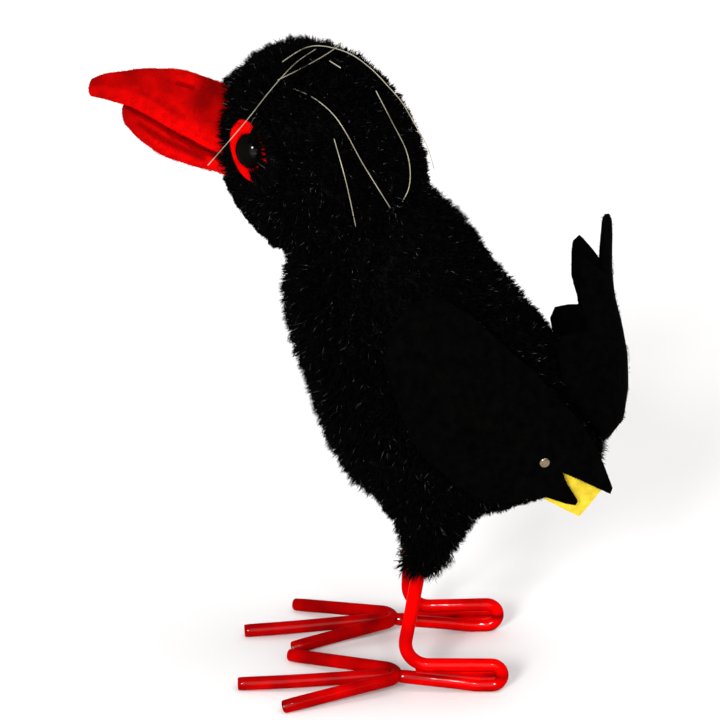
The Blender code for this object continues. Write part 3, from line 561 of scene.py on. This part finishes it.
def felt_sheet(name, columns, thickness, material, curl=0.12):
    """A sheet from columns of equally many points: thick in the middle, pinched at its edges."""
    rows, count = len(columns[0]), len(columns)
    vertices, faces = [], []
    grid = [[Vector(p) for p in column] for column in columns]
    normals = []
    for c in range(count):
        line = []
        for r in range(rows):
            a = grid[min(c + 1, count - 1)][r] - grid[max(c - 1, 0)][r]
            b = grid[c][min(r + 1, rows - 1)] - grid[c][max(r - 1, 0)]
            line.append(a.cross(b).normalized())
        normals.append(line)
    for side in (1, -1):
        for c in range(count):
            for r in range(rows):
                edge = c in (0, count - 1) or r in (0, rows - 1)
                half = thickness / 2 * (0.55 if edge else 1.0)
                wave = noise.noise(grid[c][r] / 5.0) * curl
                vertices.append(grid[c][r] + normals[c][r] * (side * half + wave))
    size = rows * count
    for c in range(count - 1):
        for r in range(rows - 1):
            i = c * rows + r
            faces.append((i, i + rows, i + rows + 1, i + 1))
            faces.append((size + i, size + i + 1, size + i + rows + 1, size + i + rows))
    rim = [*range(rows), *[c * rows + rows - 1 for c in range(1, count)],
           *[(count - 1) * rows + r for r in range(rows - 2, -1, -1)],
           *[c * rows for c in range(count - 2, 0, -1)]]
    for i, here in enumerate(rim):
        ahead = rim[(i + 1) % len(rim)]
        faces.append((here, ahead, size + ahead, size + here))
    made = piece(name, vertices, faces, material)
    made.data.set_sharp_from_angle(angle=math.radians(70))
    return made


def sheet_area(columns):
    """The area of a grid of points, in square metres."""
    total = 0.0
    for left, right in zip(columns, columns[1:]):
        for i in range(len(left) - 1):
            a, b, c, d = (Vector(p) for p in (left[i], right[i], right[i + 1], left[i + 1]))
            total += ((b - a).cross(c - a).length + (c - a).cross(d - a).length) / 2
    return total * MM * MM


def turned(name, profile, material, place):
    """A turned piece from (radius, height) points, closed where they reach the axis."""
    rings = [[place @ Vector((radius * math.cos(t), radius * math.sin(t), height))
              for t in turns_of(64)] for radius, height in profile]
    return tube(name, rings, material)


def frame_at(place, outward, along=Vector((1, 0, 0))):
    side = outward.cross(along).normalized()
    spin = Matrix((side.cross(outward), side, outward)).transposed().to_4x4()
    return Matrix.Translation(place) @ spin


# ---- pile and fuzz

def surface_samples(made, density, rng):
    """Points and normals spread evenly over a piece, in millimetres."""
    mesh = made.data
    mesh.calc_loop_triangles()
    corners = np.empty(len(mesh.loop_triangles) * 3, np.int32)
    mesh.loop_triangles.foreach_get("vertices", corners)
    points = np.empty(len(mesh.vertices) * 3, np.float32)
    mesh.vertices.foreach_get("co", points)
    normals = np.array([v.normal for v in mesh.vertices])
    points = points.reshape(-1, 3).astype(float) / MM
    corners = corners.reshape(-1, 3)
    a, b, c = (points[corners[:, i]] for i in range(3))
    area = np.linalg.norm(np.cross(b - a, c - a), axis=1) / 2
    count = int(area.sum() * density)
    chosen = rng.choice(len(area), count, p=area / area.sum())
    u, v = rng.random((2, count, 1))
    flip = u + v > 1
    u, v = np.where(flip, 1 - u, u), np.where(flip, 1 - v, v)
    place = a[chosen] + u * (b - a)[chosen] + v * (c - a)[chosen]
    na, nb, nc = (normals[corners[chosen][:, i]] for i in range(3))
    facing = na + u * (nb - na) + v * (nc - na)
    return place, unit(facing)


def unit(rows):
    return rows / np.maximum(np.linalg.norm(rows, axis=1, keepdims=True), 1e-9)


def gathered(roots, tips, share, rng, per_tuft):
    """Draws tips together into tufts, each about one strand in so many."""
    leaders = rng.choice(len(roots), max(1, len(roots) // per_tuft), replace=False)
    tree = KDTree(len(leaders))
    for i, leader in enumerate(leaders):
        tree.insert(Vector(roots[leader]), i)
    tree.balance()
    own = leaders[[tree.find(Vector(p))[1] for p in roots]]
    pull = share * rng.random((len(roots), 1))
    return tips + (tips[own] - tips) * pull


def strands(name, roots, middles, tips, radius, materials, rng):
    """Many closed three-sided strands as one mesh, each of one tone."""
    count = len(roots)
    down = unit(middles - roots)
    side = unit(np.cross(down, rng.normal(size=(count, 3))))
    other = np.cross(down, side)
    rings = []
    for centre, size in ((roots, 1.0), (middles, 0.85)):
        for t in turns_of(3):
            offset = side * math.cos(t) + other * math.sin(t)
            rings.append(centre + offset * (radius * size)[:, None])
    vertices = np.stack([*rings, tips], axis=1).reshape(-1, 3) * MM
    corners = np.array([
        (0, 2, 1), (0, 1, 4), (0, 4, 3), (1, 2, 5), (1, 5, 4), (2, 0, 3), (2, 3, 5),
        (3, 4, 6), (4, 5, 6), (5, 3, 6)])
    faces = (np.arange(count)[:, None, None] * 7 + corners[None]).reshape(-1, 3)
    mesh = bpy.data.meshes.new(name)
    mesh.vertices.add(len(vertices))
    mesh.vertices.foreach_set("co", vertices.astype(np.float32).ravel())
    mesh.loops.add(faces.size)
    mesh.loops.foreach_set("vertex_index", faces.astype(np.int32).ravel())
    mesh.polygons.add(len(faces))
    mesh.polygons.foreach_set("loop_start", np.arange(0, faces.size, 3, dtype=np.int32))
    shares = PILE_SHARES if materials is PILE_TONES else [1.0] * len(materials)
    shares = np.array(shares) / sum(shares)
    tone = np.repeat(rng.choice(len(materials), count, p=shares), len(corners))
    mesh.polygons.foreach_set("material_index", tone.astype(np.int32))
    for material in materials:
        mesh.materials.append(material)
    mesh.update(calc_edges=True)
    mesh.shade_smooth()
    return in_scene(name, mesh)


def tree_of(pieces):
    """One search tree of several pieces, in millimetres."""
    vertices, faces = [], []
    for made in pieces:
        start = len(vertices)
        vertices += [made.matrix_world @ v.co / MM for v in made.data.vertices]
        faces += [[start + i for i in p.vertices] for p in made.data.polygons]
    return BVHTree.FromPolygons(vertices, faces)


def inside(tree, point):
    """Whether a point lies within a closed piece, by the surfaces on the way out of it."""
    here, away, crossings = Vector(point), Vector((0.31, 0.12, 0.94)).normalized(), 0
    while crossings < 9:
        place, _, _, _ = tree.ray_cast(here, away)
        if place is None:
            break
        here = place + away * 0.001
        crossings += 1
    return crossings % 2 == 1


def shortened(roots, middles, tips, blockers, margin=0.25, least=0.35):
    """Stops each strand short of what is in its way, and drops what is left too short."""
    keep = np.ones(len(roots), bool)
    for i, (root, tip) in enumerate(zip(roots, tips)):
        run = Vector(tip - root)
        start = Vector(root)
        length = run.length
        place, _, _, distance = blockers.ray_cast(start, run.normalized(), length + margin)
        if place is None:
            continue
        share = max(0.0, (distance - margin) / length)
        if share * length < least:
            keep[i] = False
            continue
        middles[i] = root + (middles[i] - root) * share
        tips[i] = root + (tips[i] - root) * share
    return roots[keep], middles[keep], tips[keep]


MOST_STRANDS = 19500


def split(name, body, roots, middles, tips, radius, materials, rng):
    """The strands as one or more pieces that ride on a body, none of them too large."""
    pieces = max(1, math.ceil(len(roots) / MOST_STRANDS))
    order = rng.permutation(len(roots))
    for number, part in enumerate(np.array_split(order, pieces), 1):
        label = name if pieces == 1 else f"{name}_{number}"
        made = strands(label, roots[part], middles[part], tips[part], radius[part], materials, rng)
        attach(made, body)


def pile_on(name, body, base, density, length, comb, rng, blockers, hidden=None, thick=0.13,
            tuft=18, bend=0.25, materials=PILE_TONES, jitter=0.42):
    """Pile all over a piece: combed, jittered, drawn into tufts and kept off its neighbours.

    length and comb are functions of the points and normals, and hidden says which roots to
    leave out.
    """
    roots, facing = surface_samples(base, density, rng)
    if hidden is not None:
        keep = ~np.array([hidden(p) for p in roots], bool)
        roots, facing = roots[keep], facing[keep]
    direction = unit(facing + comb(roots, facing) + rng.normal(scale=jitter, size=roots.shape))
    reach = length(roots, facing) * rng.uniform(0.6, 1.15, len(roots))
    tips = roots + direction * reach[:, None]
    tips = gathered(roots, tips, 0.85, rng, tuft)
    sag = np.cross(direction, rng.normal(size=roots.shape))
    middles = roots + (tips - roots) * 0.5 + facing * (0.1 * reach)[:, None]
    middles = middles + sag * (bend * 0.3 * reach)[:, None]
    roots = roots - facing * 0.25
    if blockers is not None:
        roots, middles, tips = shortened(roots, middles, tips, blockers)
    radius = rng.uniform(0.7, 1.25, len(roots)) * thick
    split(name, body, roots, middles, tips, radius, materials, rng)


# ---- legs and feet

def foot_x(foot, y):
    (heel_x, heel_y), (toe_x, toe_y) = foot["heel"], foot["middle"]
    return heel_x + (toe_x - heel_x) * (heel_y - y) / (heel_y - toe_y)


def arc(centre, radius, start, end, steps):
    turns = [math.radians(start + (end - start) * i / steps) for i in range(steps + 1)]
    return [(centre[0] + radius * math.cos(t), centre[1] + radius * math.sin(t)) for t in turns]


def v_bend(foot):
    point = Vector((foot_x(foot, V_POINT_Y), V_POINT_Y))
    arms = [(Vector(foot[key]) - point).normalized() for key in ("outer", "inner")]
    half = arms[0].angle(arms[1]) / 2
    middle = point + (arms[0] + arms[1]).normalized() * (V_BEND / math.sin(half))
    spokes = [(point + arm * (V_BEND / math.tan(half)) - middle).normalized() for arm in arms]
    return [middle + spokes[0].slerp(spokes[1], i / V_STEPS) * V_BEND
            for i in range(V_STEPS + 1)]


def crossing_of(foot):
    """The middle of the side toes' bend, where the middle toe and the sole meet it."""
    return v_bend(foot)[V_STEPS // 2]


def leg_route(foot):
    strand = foot["strand"]
    centre = (foot["ankle"] + ANKLE_BEND, strand + ANKLE_BEND)
    knee_x, knee_y = foot["knee"]
    lean = math.degrees(math.atan2(knee_y - foot["ankle"], LEG_TOP - centre[1]))
    bend = arc(centre, ANKLE_BEND, 180 - lean, 270, 12)
    turn = (strand - REST_Z) / 2
    loop = arc((foot["heel"][1], REST_Z + turn), turn, 90, -90, 16)
    back = crossing_of(foot).y + SLEEVE_RADIUS - SOLE_BITE
    sole = curve_through([*SOLE_RISE, (back, SOLE_END_Z)], 12)
    knee = Vector((knee_x, knee_y, LEG_TOP))
    ankle = Vector((foot_x(foot, bend[0][0]), *bend[0]))
    down = [knee.lerp(ankle, share / 8) for share in range(8)]
    return [*down, *[Vector((foot_x(foot, y), y, z)) for y, z in [*bend, *loop, *sole]]]


def toe_route(foot):
    start = crossing_of(foot).y - TOE_START
    fall = [(start, TOE_START_Z), *TOE_FALL, (foot["middle"][1], REST_Z)]
    return [Vector((foot_x(foot, y), y, z)) for y, z in curve_through(fall, 22)]


def v_route(foot):
    bend = v_bend(foot)
    outer = [Vector(foot["outer"]).lerp(bend[0], i / 10) for i in range(10)]
    inner = [bend[-1].lerp(Vector(foot["inner"]), i / 10) for i in range(1, 11)]
    rise = [i / 10 for i in range(10)]
    shares = [*rise, *[1.0] * len(bend), *reversed(rise)]
    rises = [REST_Z + (CROSSING_Z - REST_Z) * share for share in shares]
    return [Vector((p.x, p.y, z)) for p, z in zip([*outer, *bend, *inner], rises)]


def heel_web(name, foot):
    """The plastic that fills the slot inside the heel's loop, a little hollow on both sides."""
    reach = SLEEVE_RADIUS - WEB_BITE
    turn = (foot["strand"] - REST_Z) / 2
    heel_y = foot["heel"][1]
    bend = Vector((foot["ankle"] + ANKLE_BEND, foot["strand"] + ANKLE_BEND))
    start = foot["ankle"] + WEB_AHEAD
    low = [(start, WEB_START_Z), *SOLE_RISE[::-1], (heel_y, REST_Z)]
    rows = []
    for y, z in curve_through(low, 36):
        behind = max(0.0, bend.x - y)
        top = bend.y - math.sqrt(ANKLE_BEND ** 2 - behind ** 2)
        rows.append((y, z + reach, top - reach))
    for y, z in arc((heel_y, REST_Z + turn), turn - reach, -80, 0, 5):
        rows.append((y, z, 2 * (REST_Z + turn) - z))
    rings = []
    for y, bottom, top in rows:
        middle, half = (bottom + top) / 2, max((top - bottom) / 2, 0.02)
        ring = []
        for t in turns_of(16):
            share = math.sin(t)
            thick = WEB_THICKNESS / 2 * (0.75 + 0.5 * share * share)
            side = math.copysign(thick * min(1.0, 3 * abs(math.cos(t))), math.cos(t))
            ring.append(Vector((foot_x(foot, y) + side, y, middle + half * share)))
        rings.append(ring)
    return tube(name, rings, SLEEVE)


def merged(made, other):
    """One object of two meshes."""
    shape = bmesh.new()
    shape.from_mesh(made.data)
    shape.from_mesh(other.data)
    shape.to_mesh(made.data)
    shape.free()
    bpy.data.objects.remove(other, do_unlink=True)


def paint_foot_shade(made, crossing, foot):
    """Painted shade on the sleeves round the toes' crossing, under the foot, along the toes and
    inside the heel's loop.
    """
    middle = Vector((crossing.x, crossing.y, CROSSING_Z)) * MM
    slot_z = (foot["strand"] + REST_Z) / 2 * MM
    painted_shade_values = painted_shade_of(made).data
    for vert in made.data.vertices:
        near = max(0.0, 1 - (vert.co - middle).length / (9 * MM))
        under = max(0.0, -vert.normal.z) * 0.6
        toes = 0.6 if vert.co.y < middle.y else 0.0
        slot = max(0.0, 1 - abs(vert.co.z - slot_z) / (1.3 * MM)) if vert.co.y > middle.y else 0.0
        patch = 0.9 + 0.6 * noise.noise(vert.co / (5 * MM))
        painted_shade_values[vert.index].value = min(1.0, max(0.7 * near, under, toes, 0.8 * slot) * patch)


def build_feet():
    routes = {"leg": leg_route, "middle_toe": toe_route, "side_toe": v_route}
    for name, foot in FEET.items():
        for part, route in routes.items():
            made = swept(f"{name}_{part}_tube", route(foot), SLEEVE_RADIUS, SLEEVE,
                         wall=SLEEVE_WALL)
            if part == "leg":
                merged(made, heel_web(f"{name}_web", foot))
            # Painted shade round the crossing, underneath, along the toes and in the heel's loop.
            paint_foot_shade(made, crossing_of(foot), foot)
            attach(made, "root")
            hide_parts(f"{name}_{part}_sleeve")


# ---- wings, tag and tail

def wing_point(side, along, across):
    bow = WING_BOW_ALONG * (along - WING_CREST) ** 2 + WING_BOW_ACROSS * across ** 2
    flat = Vector((0, *WING_MIDDLE)) + WING_ALONG * along + WING_ACROSS * across
    return Vector((side * (WING_X - bow), flat.y, flat.z))


def wing_outward(side, along, across):
    ahead = wing_point(side, along + 0.5, across) - wing_point(side, along - 0.5, across)
    over = wing_point(side, along, across + 0.5) - wing_point(side, along, across - 0.5)
    outward = ahead.cross(over).normalized()
    return outward if outward.x * side > 0 else -outward


def finer(rows, between):
    """The rows again with straight steps between them."""
    found = []
    for low, high in zip(rows, rows[1:]):
        found += [tuple(a + (b - a) * i / between for a, b in zip(low, high))
                  for i in range(between)]
    return [*found, tuple(rows[-1])]


def build_wings():
    made = []
    for name, side in SIDES:
        columns = [
            [wing_point(side, start + (end - start) * i / 44, across) for i in range(45)]
            for across, start, end in finer(WING_COLUMNS, 4)
        ]
        wing = felt_sheet(f"{name}_wing_cloth", columns, WING_THICKNESS - 0.2, BLACK_FELT)
        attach(wing, f"{name}_wing")
        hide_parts(f"{name}_wing_felt")
        sheet_area(columns)
        made.append(wing)
    return made


def build_button():
    place = frame_at(wing_point(1, *BUTTON_ON_WING), wing_outward(1, *BUTTON_ON_WING))
    base = WING_THICKNESS / 2 + GAP
    dome = [(BUTTON_RADIUS * math.sin(t), base + 0.15 + 0.55 * math.cos(t))
            for t in [math.pi / 2 * i / 14 for i in range(1, 15)]]
    rim = [(BUTTON_RADIUS + 0.05, base + 0.08), (BUTTON_RADIUS, base), (0.7, base),
           (0.7, -base - 1.2), (0.05, -base - 1.2)]
    button = turned("wing_rivet", [*dome, *rim], BRASS, place)
    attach(button, "left_wing")
    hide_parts("wing_button")
    return button


def build_tag():
    depth = WING_THICKNESS / 2 + GAP + TAG_THICKNESS / 2
    turn = Matrix.Rotation(TAG_TURN, 2)
    columns = []
    for i in range(41):
        run = TAG_ENDS[0] + (TAG_ENDS[1] - TAG_ENDS[0]) * i / 40
        column = []
        for j in range(17):
            rise = TAG_EDGES[0] + (TAG_EDGES[1] - TAG_EDGES[0]) * j / 16
            along, across = Vector(BUTTON_ON_WING) + turn @ Vector((run, rise))
            curl = 0.5 * max(0.0, (run - 8.0) / 9.7) ** 2
            column.append(wing_point(1, along, across)
                          - wing_outward(1, along, across) * (depth + curl))
        columns.append(column)
    tag = felt_sheet("tag_strip", columns, TAG_THICKNESS, TAG, 0.05)
    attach(tag, "tag")
    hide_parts("tag")
    return tag


def tail_spine(z):
    for (low, y0), (high, y1) in zip(TAIL_SPINE, TAIL_SPINE[1:]):
        if z <= high:
            return y0 + (y1 - y0) * (z - low) / (high - low)
    return TAIL_SPINE[-1][1]


def build_tail():
    fingers = [(-angle, top) for angle, top in reversed(TAIL_FINGERS[1:])] + list(TAIL_FINGERS)
    columns = []
    for angle, top in finer(fingers, 3):
        foot = TAIL_FOOT_Z + (TAIL_EDGE_Z - TAIL_FOOT_Z) * abs(angle / 90) ** 2
        turn = math.radians(angle)
        column = []
        for i in range(42):
            z = foot + (top - foot) * i / 41
            y = tail_spine(z) - TAIL_DEPTH * (1 - math.cos(turn))
            column.append((TAIL_HALF_WIDTH * math.sin(turn), y, z))
        columns.append(column)
    tail = felt_sheet("tail_cloth", columns, TAIL_THICKNESS - 0.2, BLACK_FELT)
    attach(tail, "tail")
    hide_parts("tail_felt")
    area = sheet_area(columns)
    return tail


# ---- head, beak, eyes, strands

def eye_frame(side):
    flip = Vector((side, 1, 1))
    return frame_at(EYE_PLACE * flip, EYE_OUTWARD * flip, EYE_TALL * flip)


def build_eyes():
    made = []
    for name, side in SIDES:
        place = eye_frame(side)
        dome = [(EYE_RADIUS * math.sin(t), GAP + EYE_HEIGHT * math.cos(t))
                for t in [math.pi / 2 * i / 20 for i in range(1, 21)]]
        eye = turned(f"{name}_glass_eye", [*dome, (EYE_RADIUS - 0.1, GAP - 0.1), (0.1, GAP - 0.1)],
                     EYE_GLASS, place)
        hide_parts(f"{name}_eye")
        ring = build_eye_ring(f"{name}_eye_felt", place)
        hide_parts(f"{name}_eye_ring")
        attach(eye, "head")
        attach(ring, "head")
        made += [eye, ring]
    return made


def build_eye_ring(name, place):
    """A flat ring of felt with softly rounded edges."""
    hole = EYE_RADIUS + 0.15
    tall, wide = EYE_RING_HALF
    rings = []
    for t in turns_of(72):
        outer = Vector((tall * math.cos(t), wide * math.sin(t), 0))
        inner = Vector((hole * math.cos(t), hole * math.sin(t), 0))
        uneven = 1 + 0.03 * noise.noise(outer / 2.0)
        middle, half = (outer * uneven + inner) / 2, (outer * uneven - inner) / 2
        section = []
        for s in turns_of(14):
            bulge = abs(math.sin(s)) ** 0.6 * math.copysign(1, math.sin(s))
            lift = EYE_RING_THICKNESS / 2 * (1 + bulge)
            section.append(place @ (middle + half * math.cos(s) + Vector((0, 0, lift))))
        rings.append(section)
    vertices = [p for ring in rings for p in ring]
    return piece(name, vertices, between_rings(72, 14, closed=True), RED_FELT)


def build_beak():
    upper = beak_half("upper_beak_cloth", UPPER_BEAK, UPPER_WIDEST)
    lower = beak_half("lower_beak_cloth", LOWER_BEAK, LOWER_WIDEST)
    # Painted shade on the beak's upward sides, and darker towards its tip.
    top_shade_and_dark_tip(upper, 0.9, 0.55)
    top_shade_and_dark_tip(lower, 0.3, 0.75)
    # Grooves with painted shade along their bottoms, and a band of painted shadow under the upper
    # half.
    press(upper, UPPER_CREASE, 2.0, 0.7, 0.7)
    press(upper, NOSTRIL, 1.3, 0.6, 1.0)
    press(lower, LOWER_SHADE, 4.6, 0.15, 0.45)
    press(lower, LOWER_CREASE, 2.4, 0.3, 0.9)
    for made, name in ((upper, "upper"), (lower, "lower")):
        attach(made, "head")
        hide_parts(f"{name}_beak_felt", f"{name}_beak_stuffing")
    return upper, lower


def build_strands():
    for number, route in enumerate(STRANDS, 1):
        made = swept(f"nylon_hair_{number}", curve_through(route, 10 * len(route)),
                     STRAND_RADIUS, NYLON, 10)
        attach(made, "head")
        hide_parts(f"nylon_strand_{number}")


def build_thighs():
    made = []
    for name, side in SIDES:
        rows = curve_through(THIGH, 26)
        rings = []
        for i, row in enumerate(rows):
            share = i / (len(rows) - 1)
            x = side * (THIGH_X[0] + (THIGH_X[1] - THIGH_X[0]) * share)
            rings.append(smooth_section(row, x, 40))
        rings += domed(rings[-1], Vector((0, 0, -1)), 1.0)
        thigh = tube(f"{name}_thigh_cloth", rings, BACKING)
        drawn_in(thigh)
        lumpy(thigh, 0.4, 7.0)
        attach(thigh, "root")
        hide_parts(f"{name}_thigh_cover", f"{name}_thigh_stuffing")
        made.append(thigh)
    return made


# ---- pile on each form

def rise(values, start, reach):
    """From 0 where a value is at the start to 1 where it is past it by the reach."""
    return np.clip((values - start) / reach, 0, 1)


def grow_body_pile(body, blockers, thighs):
    rng = np.random.default_rng(11)
    covered = [tree_of([thigh]) for thigh in thighs]

    def length(p, n):
        y, z = p[:, 1], p[:, 2]
        nape = rise(z, 90.0, 12.0) * rise(y, 12.0, 8.0)
        throat = rise(z, 106.0, 5.0) * rise(-y, 10.0, 6.0)
        rump = rise(y, 50.0, 6.0) * rise(-z, -68.0, 4.0)
        front = np.clip((NECK_CENTRE.y + 6.0 + (120.0 - z) * 0.4 - y) / 20.0, 0, 1)
        under = np.clip(-n[:, 2] - 0.6, 0, 0.4) * rise(y, 34.0, 6.0)
        return 3.0 + 1.5 * front * (1 - throat) + 0.5 * nape + 1.8 * rump - 4.0 * under

    def comb(p, n):
        return np.array([0.0, 0.12, -0.34])

    def hidden(p):
        return p[2] < 66.0 and any(inside(tree, p) for tree in covered)

    pile_on("body_pile", "root", body, 4.4, length, comb, rng, blockers, hidden)


def grow_thigh_pile(thighs, body, blockers):
    rng = np.random.default_rng(12)
    torso = tree_of([body])

    def length(p, n):
        return 3.1 + 2.4 * rise(-p[:, 2], -44.0, 10.0)

    def comb(p, n):
        low = rise(-p[:, 2], -48.0, 14.0)[:, None]
        return np.array([0.0, 0.1, -0.35]) + low * np.array([0.0, 0.0, -0.5])

    for thigh in thighs:
        pile_on(thigh.name.replace("_cloth", "_pile"), "root", thigh, 6.5, length, comb, rng,
                blockers, lambda p: inside(torso, p), bend=0.5)


def grow_head_pile(head, beak, blockers):
    rng = np.random.default_rng(13)
    beak_trees = [tree_of([half]) for half in beak]
    eyes = [eye_frame(side).inverted() for side in (1, -1)]

    def around_eye(p):
        """How far out a point is from the eye on its side, in ring sizes."""
        place = eyes[0 if p[0] > 0 else 1] @ Vector(p)
        tall, wide = place.x / EYE_RING_HALF[0], place.y / EYE_RING_HALF[1]
        return math.hypot(tall, wide)

    def hidden(p):
        if p[1] < -12 and around_eye(p) < 1.0:
            return True
        return p[1] < -22 and any(inside(tree, p) for tree in beak_trees)

    def length(p, n):
        y, z = p[:, 1], p[:, 2]
        crown = rise(z, 150.0, 10.0)
        throat = rise(-z, -126.0, 8.0) * rise(-y, 0.0, 20.0)
        nape = rise(y, 0.0, 14.0)
        chin = rise(-z, -137.0, 4.0) * rise(-y, 22.0, 4.0)
        face = rise(-y, 30.0, 1.0) * (1 - chin)
        return 3.0 + 1.0 * crown - 0.7 * throat - 0.5 * nape + face - 1.3 * chin

    def comb(p, n):
        rear = rise(p[:, 1], -30.0, 40.0)[:, None]
        face = rise(-p[:, 1], 26.0, 6.0)[:, None]
        return (np.array([0.0, -0.2, -0.1]) + rear * np.array([0.0, 0.3, -0.05])
                + face * np.array([0.0, -0.6, 0.0]))

    pile_on("head_pile", "head", head, 6.2, length, comb, rng, blockers, hidden, tuft=48,
            bend=0.4)
    for name, side in SIDES:
        grow_eye_pile(f"{name}_eye_pile", side, head, around_eye, rng)


def grow_eye_pile(name, side, head, around_eye, rng):
    """Pile that rises behind an eye and lies forward over its ring, and pile before the ring."""
    roots, facing = surface_samples(head, 16.0, rng)
    centre = np.array(EYE_PLACE * Vector((side, 1, 1)))
    away = unit(roots - centre)
    round_it = np.array([around_eye(p) if abs(p[0] - centre[0]) < 14 else 9.0 for p in roots])
    own = (roots[:, 0] * side > 2) & (roots[:, 1] < -12)
    behind = own & (round_it > 0.86) & (round_it < 1.4) & (away[:, 1] > 0.3)
    before = own & (round_it > 1.0) & (round_it < 1.3) & (away[:, 1] < -0.25)
    sets = []
    for chosen, rise, lie, forward in ((behind, 2.5, 4.0, 0.0), (before, 0.8, 0.0, 2.8)):
        p, n, a = roots[chosen], facing[chosen], away[chosen]
        size = rng.uniform(0.75, 1.2, (len(p), 1))
        tilt = rng.normal(scale=0.5, size=p.shape)
        ahead = -a * lie + np.array([0.12 * side, -1.0, -0.05]) * forward
        middle = p + (n * rise + ahead * 0.3 + tilt * 0.4) * size
        tip = p + (n * rise * 0.95 + ahead + tilt) * size
        sets.append((p - n * 0.25, middle, tip))
    roots, middles, tips = (np.concatenate(rows) for rows in zip(*sets))
    tips = gathered(roots, tips, 0.6, rng, 9)
    radius = rng.uniform(0.8, 1.3, len(roots)) * 0.15
    split(name, "head", roots, middles, tips, radius, PILE_TONES, rng)


def grow_fuzz(name, body, base, density, length, materials, seed, thick=0.05, hidden=None):
    """Short loose fibres on felt."""
    rng = np.random.default_rng(seed)
    pile_on(name, body, base, density, lambda p, n: np.full(len(p), length),
            lambda p, n: np.zeros(3), rng, None, hidden, thick, 30, 0.6, materials, 0.7)


# ---- the room

def build_room():
    mesh = bpy.data.meshes.new("floor")
    size = 20.0
    mesh.from_pydata([(-size, -size, 0), (size, -size, 0), (size, size, 0), (-size, size, 0)],
                     [], [(0, 1, 2, 3)])
    paper = principled("floor_paper", (0.92, 0.91, 0.91), 0.8, 0.1)
    mottled(paper, (0.9, 0.88, 0.88), (0.95, 0.94, 0.94), 7.0, 3.0)
    mesh.materials.append(paper)
    floor = in_scene("floor", mesh)
    world = bpy.data.worlds.new("studio")
    bpy.context.scene.world = world
    world.use_nodes = True
    sky = world.node_tree.nodes["Background"]
    sky.inputs["Color"].default_value = (1.0, 0.99, 0.985, 1.0)
    sky.inputs["Strength"].default_value = 0.68
    lamps = (
        ("key", "SUN", (0.75, -0.3, 0.42), 14.0, 2.5),
        ("above", "SUN", (0.1, 0.35, 1.0), 40.0, 0.9),
        ("spark", "AREA", (0.5, 0.12, 0.42), 0.025, 0.35),
    )
    target = Vector((0, 0, 0.06))
    for name, kind, place, size, power in lamps:
        light = bpy.data.lights.new(name, kind)
        light.energy = power
        if kind == "SUN":
            light.angle = math.radians(size)
        else:
            light.size = size
        lamp = in_scene(name, light)
        lamp.location = place
        lamp.rotation_euler = (target - Vector(place)).to_track_quat("-Z", "Y").to_euler()


def build_camera():
    data = bpy.data.cameras.new("camera")
    data.lens = CAMERA_LENS
    data.sensor_width = 36.0
    camera = in_scene("camera", data)
    camera.location = CAMERA_PLACE * MM
    ahead = Vector((-math.cos(CAMERA_PITCH), 0, -math.sin(CAMERA_PITCH)))
    camera.rotation_euler = ahead.to_track_quat("-Z", "Y").to_euler()
    bpy.context.scene.camera = camera
    bpy.context.scene.view_settings.view_transform = "Standard"


def dress_hidden_nodes():
    """Procedural materials for the CAD pieces that stay as they are."""
    finishes = {"disc": BOARD, "washer": STEEL, "pin": STEEL, "shank": STEEL, "wire": STEEL,
                "button_back": BRASS}
    for name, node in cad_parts.items():
        if node.hide_render:
            continue
        for word, material in finishes.items():
            if word in name:
                node.data.materials.clear()
                node.data.materials.append(material)


def main():
    build_camera()
    build_room()
    build_feet()
    body = stuffed("body_cloth", TORSO, NECK_UP, 1.5)
    head = stuffed("head_cloth", HEAD, -NECK_UP, 1.8)
    for made, part in ((body, "body"), (head, "head")):
        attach(made, "root" if part == "body" else "head")
        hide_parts(f"{part}_cover", f"{part}_stuffing")
    thighs = build_thighs()
    wings = build_wings()
    button = build_button()
    tag = build_tag()
    tail = build_tail()
    beak = build_beak()
    eyes = build_eyes()
    build_strands()
    dress_hidden_nodes()
    blockers = tree_of([*wings, button, tag, tail])
    grow_body_pile(body, blockers, thighs)
    grow_thigh_pile(thighs, body, blockers)
    grow_head_pile(head, beak, tree_of([*beak, eyes[0], eyes[2]]))
    for made in (*wings, tail):
        body_name = made.name.replace("_cloth", "")
        grow_fuzz(f"{body_name}_fuzz", body_name, made, 0.9, 0.7, BLACK_FUZZ, 21)
    head_tree = tree_of([head])
    for made in beak:
        grow_fuzz(made.name.replace("_cloth", "_fuzz"), "head", made, 3.0, 0.5, RED_FUZZ,
                  22, 0.035, lambda p: inside(head_tree, p))
    for ring, name in ((eyes[1], "left"), (eyes[3], "right")):
        grow_fuzz(f"{name}_eye_fuzz", "head", ring, 6.0, 0.4, RED_FUZZ, 23, 0.035)


main()
